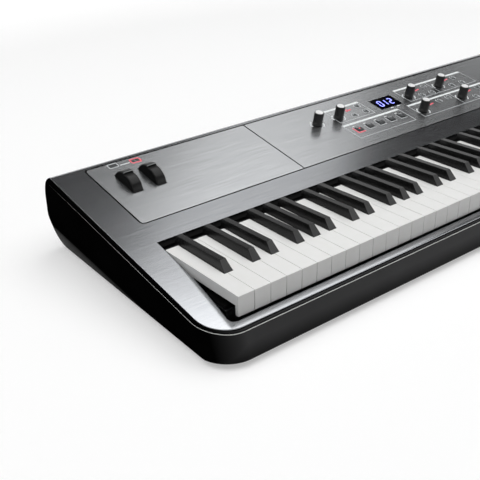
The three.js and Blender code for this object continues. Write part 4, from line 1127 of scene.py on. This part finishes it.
def segmentOutlines(digit, stroke):
    d = display
    w = d["digitWidth"] / 2
    h = d["digitHeight"] / 2
    ends = {"a": (-w, h, w, h), "b": (w, h, w, 0), "c": (w, 0, w, -h), "d": (-w, -h, w, -h),
            "e": (-w, 0, -w, -h), "f": (-w, h, -w, 0), "g": (-w, 0, w, 0)}
    t = stroke / 2
    gap = d["jointGap"]
    outlines = []
    for letter in segmentsOf[digit]:
        x0, y0, x1, y1 = ends[letter]
        length = math.hypot(x1 - x0, y1 - y0)
        ux, uy = (x1 - x0) / length, (y1 - y0) / length
        low, top = (x0 + ux * gap, y0 + uy * gap), (x1 - ux * gap, y1 - uy * gap)
        # pointed bar: each corner's end, how far along from it and how far to the side
        corners = [(*low, 0, 0), (*low, t, t), (*top, -t, t), (*top, 0, 0), (*top, -t, -t), (*low, t, -t)]
        outline = [(x + ux * a - uy * b, y + uy * a + ux * b) for x, y, a, b in corners]
        outlines.append([(x + d["slant"] * y, y) for x, y in outline])
    return outlines


def flatFaces(outlines, lift, name, depth=0.05):
    # thin raised prints with closed undersides
    bm = bmesh.new()
    for outline in outlines:
        top = [bm.verts.new((x, y, lift)) for x, y in outline]
        low = [bm.verts.new((x, y, lift - depth)) for x, y in outline]
        bm.faces.new(top)
        bm.faces.new(list(reversed(low)))
        for i in range(len(top)):
            j = (i + 1) % len(top)
            bm.faces.new((low[i], low[j], top[j], top[i]))
    return closedMesh(bm, name, deckMatrix)


def makeDisplay():
    d = display
    x, s = displayPlace
    window = sheetMesh([roundedAt(x, s, *displayHalf, d["radius"], 4)], d["depth"], d["edge"], -d["sink"])
    newPiece("display_glass", onDeck(window), [windowAcrylic], caseBody, ["display_window"])
    for layer, (stroke, lift, material) in d["layers"].items():
        outlines = []
        for digit, shift in d["digits"]:
            outlines += [[(px + x + shift, py + s) for px, py in o] for o in segmentOutlines(digit, stroke)]
        newPiece("digit_" + layer, flatFaces(outlines, lift, layer), [material], caseBody)


makeDisplay()


# prints on the panels

prints = {
    "lift": 0.06, "joint": 0.05, "barJoint": 0.1,
    # frames round the groups of controls: left, right, front, back and dividing line; the back is a broad bar
    "groups": [(420.4, 497.0, 271.5, 311.0, None), (415.0, 541.5, 222.0, 261.5, None),
               (583.0, 757.0, 271.0, 311.2, 660.5), (564.5, 757.0, 222.0, 261.5, 667.5)],
    "bar": 4.4, "line": 1.0,
    "knobArc": (10.8, 2.1), "knobAngles": [(112, 192), (-64, 14)],
    "buttonArc": (5.6, 1.2), "buttonAngles": [(-70, 70), (110, 250)],
    "firstCorner": (9.95, 2.6), "otherCorner": (8.5, 1.0), "cornerEnd": 6.0,
    # strips from x, y to x, y and their width, from the middle of their knob or button or the deck's zero
    "knobStrips": [(26.5, 9.8, 38.5, 12.0, 2.6), (27.5, 13.4, 33.0, 14.4, 1.8)],
    "programStrip": (-6.5, 9.4, -1.5, 9.4, 1.1),
    "whiteStrips": [(534.0, 270.4, 540.6, 270.4, 1.9), (548.8, 270.4, 554.6, 270.4, 1.9),
                    (54.5, 328.2, 69.5, 328.2, 1.3)],
    "darkStrips": [(39.0, 331.5, 51.0, 331.5, 7.0), (73.5, 329.5, 78.3, 329.5, 5.6),
                   (80.2, 329.5, 85.0, 329.5, 5.6)],
    # two small frames by the wheels: left, right, front, back and line width
    "greyFrame": (38.0, 52.0, 327.0, 336.5, 1.3), "redFrame": (72.0, 86.5, 324.5, 334.0, 2.4),
}


def strip(x0, y0, x1, y1, width):
    length = math.hypot(x1 - x0, y1 - y0)
    nx, ny = -(y1 - y0) / length * width / 2, (x1 - x0) / length * width / 2
    return [(x0 + nx, y0 + ny), (x0 - nx, y0 - ny), (x1 - nx, y1 - ny), (x1 + nx, y1 + ny)]


def stripAt(x, y, x0, y0, x1, y1, width):
    return strip(x + x0, y + y0, x + x1, y + y1, width)


def arcBands(x, y, radius, width, spans, steps=18):
    bands = []
    for start, end in spans:
        angles = [math.radians(start + (end - start) * i / steps) for i in range(steps + 1)]
        outer, inner = ([(x + r * math.cos(a), y + r * math.sin(a)) for a in angles]
                        for r in (radius + width / 2, radius - width / 2))
        bands.append(outer + inner[::-1])
    return bands


def cornerMark(x, y, reach, width):
    # bent line along the left and front sides of a square button
    end = prints["cornerEnd"]
    inner = width - reach
    spots = [(-reach, end), (-reach, -reach), (end, -reach), (end, inner), (inner, inner), (inner, end)]
    return [(x + a, y + b) for a, b in spots]


def lineFrame(left, right, front, back, width):
    low, high = front + width / 2 + prints["joint"], back - width / 2 - prints["joint"]
    return [strip(left, back, right, back, width), strip(left, front, right, front, width),
            strip(left, low, left, high, width), strip(right, low, right, high, width)]


def makePrints():
    p = prints
    white, grey, red = [], [], []
    half = p["line"] / 2
    near = half + p["joint"]
    for left, right, front, back, divide in p["groups"]:
        white.append(strip(left, back, right, back, p["bar"]))
        high = back - p["bar"] / 2 - p["barJoint"]
        for x in (left, right):
            grey.append(strip(x, high, x, front - half, p["line"]))
        grey.append(strip(left + near, front, right - near, front, p["line"]))
        if divide:
            grey.append(strip(divide, high, divide, front + near, p["line"]))
    for place in knobPlaces:
        white += arcBands(*place, *p["knobArc"], p["knobAngles"])
    for place in knobPlaces[1:]:
        red += [stripAt(*place, *each) for each in p["knobStrips"]]
    red.append(cornerMark(*programPlaces[0], *p["firstCorner"]))
    grey += [cornerMark(*place, *p["otherCorner"]) for place in programPlaces[1:]]
    white += [stripAt(*place, *p["programStrip"]) for place in programPlaces]
    for places in matPlaces.values():
        for place in places:
            grey += arcBands(*place, *p["buttonArc"], p["buttonAngles"])
    white += [strip(*each) for each in p["whiteStrips"]]
    grey += lineFrame(*p["greyFrame"])
    red += lineFrame(*p["redFrame"])
    dark = [strip(*each) for each in p["darkStrips"]]
    for name, outlines, ink in (("white_print", white, whiteInk), ("grey_print", grey, greyInk),
                                ("red_print", red, redInk), ("dark_print", dark, darkInk)):
        newPiece(name, flatFaces(outlines, p["lift"], name), [ink], caseBody)


makePrints()
print("display and prints made")


# inside pieces, bodies of the rear sockets and feet

for material, nodeNames in (
    (sheetSteel, ("wheel_bracket", "wheel_axle", "keybed_chassis", "key_pivot_rod")),
    (boardLaminate, ("control_board", "contact_strip")),
    (darkFelt, ("key_stop_felt", "key_well_felt")),
    (wellAbs, ("left_cheek_block", "right_cheek_block", "key_slip")),
):
    for nodeName in nodeNames:
        dressNode(nodeName, material)

for nodeName, material, width in (("jack_panel", caseAbs, 0.35), ("power_inlet", caseAbs, 0.3),
                                  ("power_switch", knobAbs, 0.5)):
    newPiece(nodeName + "_body", cadCopy(nodeName, width, 2, 40), [material], bodyOf[nodeName],
             [nodeName])

foot = {
    "height": 5.0,
    # half section: stud in the case, pad under it, and the hollow under the pad
    "section": [(0, 3.0), (4.0, 3.0), (4.0, -0.3), (14.0, -0.3), (15.0, -1.1), (15.0, -3.8), (14.6, -4.65),
                (13.8, -5.0), (6.0, -5.0), (5.6, -2.8), (0, -2.8)],
}


def makeFeet():
    for nodeName in ("foot_front_left", "foot_front_right", "foot_rear_left", "foot_rear_right"):
        low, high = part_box(nodeName)
        centre = (low + high) / 2
        ground = Matrix.Translation((centre.x, centre.y, low.z)) @ Matrix.Scale(0.001, 4)
        mesh = latheMesh(foot["section"])
        mesh.transform(ground @ Matrix.Translation((0, 0, foot["height"])))
        newPiece(nodeName + "_pad", mesh, [footRubber], caseBody, [nodeName])


makeFeet()


# metal parts of the rear sockets, and the screws underneath

contacts = {
    "face": 352.23, "middle": -29.0,
    # shares of the opening's width, then sleeve of a phone socket and pins of a round data socket
    "jackShares": [0.08, 0.2, 0.32, 0.44, 0.56], "dataShares": [0.7, 0.82],
    "collar": 3.0, "sleeveRadius": 4.7, "holeRadius": 3.4, "sleeveLength": 9.0, "sleeveEdge": 0.3,
    "pinCircle": 4.4, "pinAngles": [-90, -45, 0, 45, 90], "dataDepth": 9.05,
    "pin": [(0, 0), (0.55, 0), (0.55, 5.6), (0.25, 6.0), (0, 6.0)],
    "inletPlace": (1021.5, 345.0, -29.0), "inletPin": [(0, 0), (1.1, 0), (1.1, 8.5), (0.6, 9.0), (0, 9.0)],
}
screw = {
    "head": [(0, -0.6), (3.4, -0.6), (3.4, 0.2), (3.1, 0.75), (2.3, 1.15), (0, 1.3)],
    "crossLength": 3.4, "crossWidth": 0.8, "crossBottom": 0.5, "crossTop": 3.0,
    "columns": [-5.0, 220.0, 420.0, 611.0, 802.0, 1002.0, 1227.0], "rows": [30.0, 285.0],
    "values": {"Seed": 4, "Largest Turn": 1.57},
}


def screwMesh():
    half, wide = screw["crossLength"] / 2, screw["crossWidth"] / 2
    cross = [boxTool(-x, x, -y, y, screw["crossBottom"], screw["crossTop"])
             for x, y in ((half, wide), (wide, half))]
    for tool in cross:
        # back from the frame's place to mm round the screw's own middle
        tool.transform(keyMatrix.inverted())
    return cutAway(latheMesh(screw["head"], 28), cross)


def makeMetalParts():
    c = contacts
    left, width = rear["sockets"][:2]
    facing = Matrix.Rotation(math.radians(-90), 4, "X")
    unturned = {"Seed": 1, "Largest Turn": 0.0}
    rings = [circle(0, 0, c["sleeveRadius"], 36), circle(0, 0, c["holeRadius"], 36)]
    sleeve = sheetMesh(rings, c["sleeveLength"], c["sleeveEdge"], 0.3)
    sleeve.transform(facing)
    places = [(left + share * width, c["face"] + c["collar"], c["middle"]) for share in c["jackShares"]]
    jacks = scattered("jackSleeves", sleeve, places, socketNickel, unturned)
    pin = latheMesh(c["pin"], 14)
    pin.transform(facing)
    places = []
    for share in c["dataShares"]:
        for angle in c["pinAngles"]:
            turn = math.radians(angle)
            places.append((left + share * width + c["pinCircle"] * math.sin(turn), c["face"] - c["dataDepth"],
                           c["middle"] - c["pinCircle"] * math.cos(turn)))
    pins = scattered("socketPins", pin, places, socketNickel, unturned)
    inletPin = latheMesh(c["inletPin"], 20)
    inletPin.transform(Matrix.Translation(c["inletPlace"]) @ facing)
    metal = joined([(jacks, 0), (pins, 0), (inletPin, 0)], "socketMetal")
    metal.transform(keyMatrix)
    newPiece("socket_contacts", metal, [socketNickel], caseBody)
    points = [(x, -y, -case["bottom"]) for x in screw["columns"] for y in screw["rows"]]
    screws = scattered("screws", screwMesh(), points, screwSteel, screw["values"])
    screws.transform(keyMatrix @ Matrix.Rotation(math.pi, 4, "X"))
    newPiece("base_screws", screws, [screwSteel], caseBody)


makeMetalParts()
print("feet and sockets made")


# floor, light and camera

studio = {
    "target": (-0.35, 0.0, 0.08), "ambient": 0.012,
    "nearLift": 0.42, "floorFade": (1.2, 2.8), "backdropTop": (0.36, 0.44),
    # azimuth, elevation, distance, width and height, brightness
    "boxes": {
        "behind": (48.4, 53.3, 7.0, (1.7, 6.4), 0.9),
        "overhead": (10.4, 89.9, 3.0, (6.0, 3.9), 2.02),
        "front": (135, 17, 5.0, (3.0, 1.4), 1.2),
    },
}


def whereSeen(tree, source):
    # the source's value for the rays that show a surface, from the camera, off the metal or through the
    # window, and nothing for the others
    path = addNode(tree, "ShaderNodeLightPath").outputs
    seen = mathNode(tree, "MAXIMUM", path["Is Camera Ray"], path["Is Glossy Ray"])
    seen = mathNode(tree, "MAXIMUM", seen, path["Is Transmission Ray"])
    return mathNode(tree, "MULTIPLY", source, seen)


def makeStage():
    bpy.ops.mesh.primitive_plane_add(size=40, location=(0, 0, 0))
    floor = bpy.context.object
    floor.name = "floor"
    # pale floor that turns white away from the piano
    made, tree, shader = newMaterial("paleFloor", "CECECE", 0.9, Specular_IOR_Level=0.1)
    place = addNode(tree, "ShaderNodeTexCoord").outputs["Object"]
    away = addNode(tree, "ShaderNodeVectorMath", {"operation": "LENGTH"}, {0: place}).outputs["Value"]
    lift = spread(tree, away, studio["nearLift"], 1, *studio["floorFade"])
    join(tree, whereSeen(tree, lift), shader.inputs["Emission Strength"])
    shader.inputs["Emission Color"].default_value = (1, 1, 1, 1)
    floor.data.materials.append(made)
    world = bpy.data.worlds.new("studio")
    bpy.context.scene.world = world
    world.use_nodes = True
    world.cycles.sampling_method = "NONE"
    tree = world.node_tree
    tree.nodes.clear()
    # white backdrop up to a low height, dim room above it
    band = spread(tree, placeParts(tree, "Generated")["Z"], 1, 0, *studio["backdropTop"])
    level = spread(tree, whereSeen(tree, band), studio["ambient"], 1, 0, 1)
    lit = addNode(tree, "ShaderNodeBackground", {"Color": (1, 1, 1, 1)}, {"Strength": level})
    addNode(tree, "ShaderNodeOutputWorld", links={"Surface": lit})


def aim(azimuth, elevation):
    # direction at angles in radians; azimuth runs from +y towards +x
    flat = math.cos(elevation)
    return Vector((math.sin(azimuth) * flat, math.cos(azimuth) * flat, math.sin(elevation)))


def softBox(name, azimuth, elevation, distance, size, radiance):
    # evenly lit rectangle aimed at the keys
    away = aim(math.radians(azimuth), math.radians(elevation))
    lamp = bpy.data.lights.new(name, "AREA")
    lamp.shape = "RECTANGLE"
    lamp.size, lamp.size_y = size
    lamp.energy = radiance * math.pi * size[0] * size[1]
    holder = newObject(name, lamp)
    holder.location = Vector(studio["target"]) + away * distance
    holder.rotation_euler = away.to_track_quat("Z", "Y").to_euler()


# fitted to the photo: place in mm from the key corner, angles in degrees, looking down
camera = {
    "place": (-476.1, -603.8, 472.7), "azimuth": 38.49, "elevation": 27.70, "roll": -0.83, "lens": 62.8,
    "sensor": 36, "clip": (0.02, 60),
}


def makeCamera():
    azimuth, elevation, roll = (math.radians(camera[name]) for name in ("azimuth", "elevation", "roll"))
    forward = aim(azimuth, -elevation)
    right = forward.cross(Vector((0, 0, 1))).normalized()
    up = right.cross(forward)
    turnedRight = math.cos(roll) * right + math.sin(roll) * up
    turnedUp = -math.sin(roll) * right + math.cos(roll) * up
    made = bpy.data.cameras.new("camera")
    made.lens = camera["lens"]
    made.sensor_width = camera["sensor"]
    made.clip_start, made.clip_end = camera["clip"]
    holder = newObject("camera", made)
    turn = Matrix((turnedRight, turnedUp, -forward)).transposed().to_4x4()
    holder.matrix_world = Matrix.Translation(keyMatrix @ Vector(camera["place"])) @ turn
    bpy.context.scene.camera = holder


makeStage()
for boxName, boxValues in studio["boxes"].items():
    softBox(boxName, *boxValues)
makeCamera()
bpy.context.scene.view_settings.view_transform = "Standard"
print("stage made")
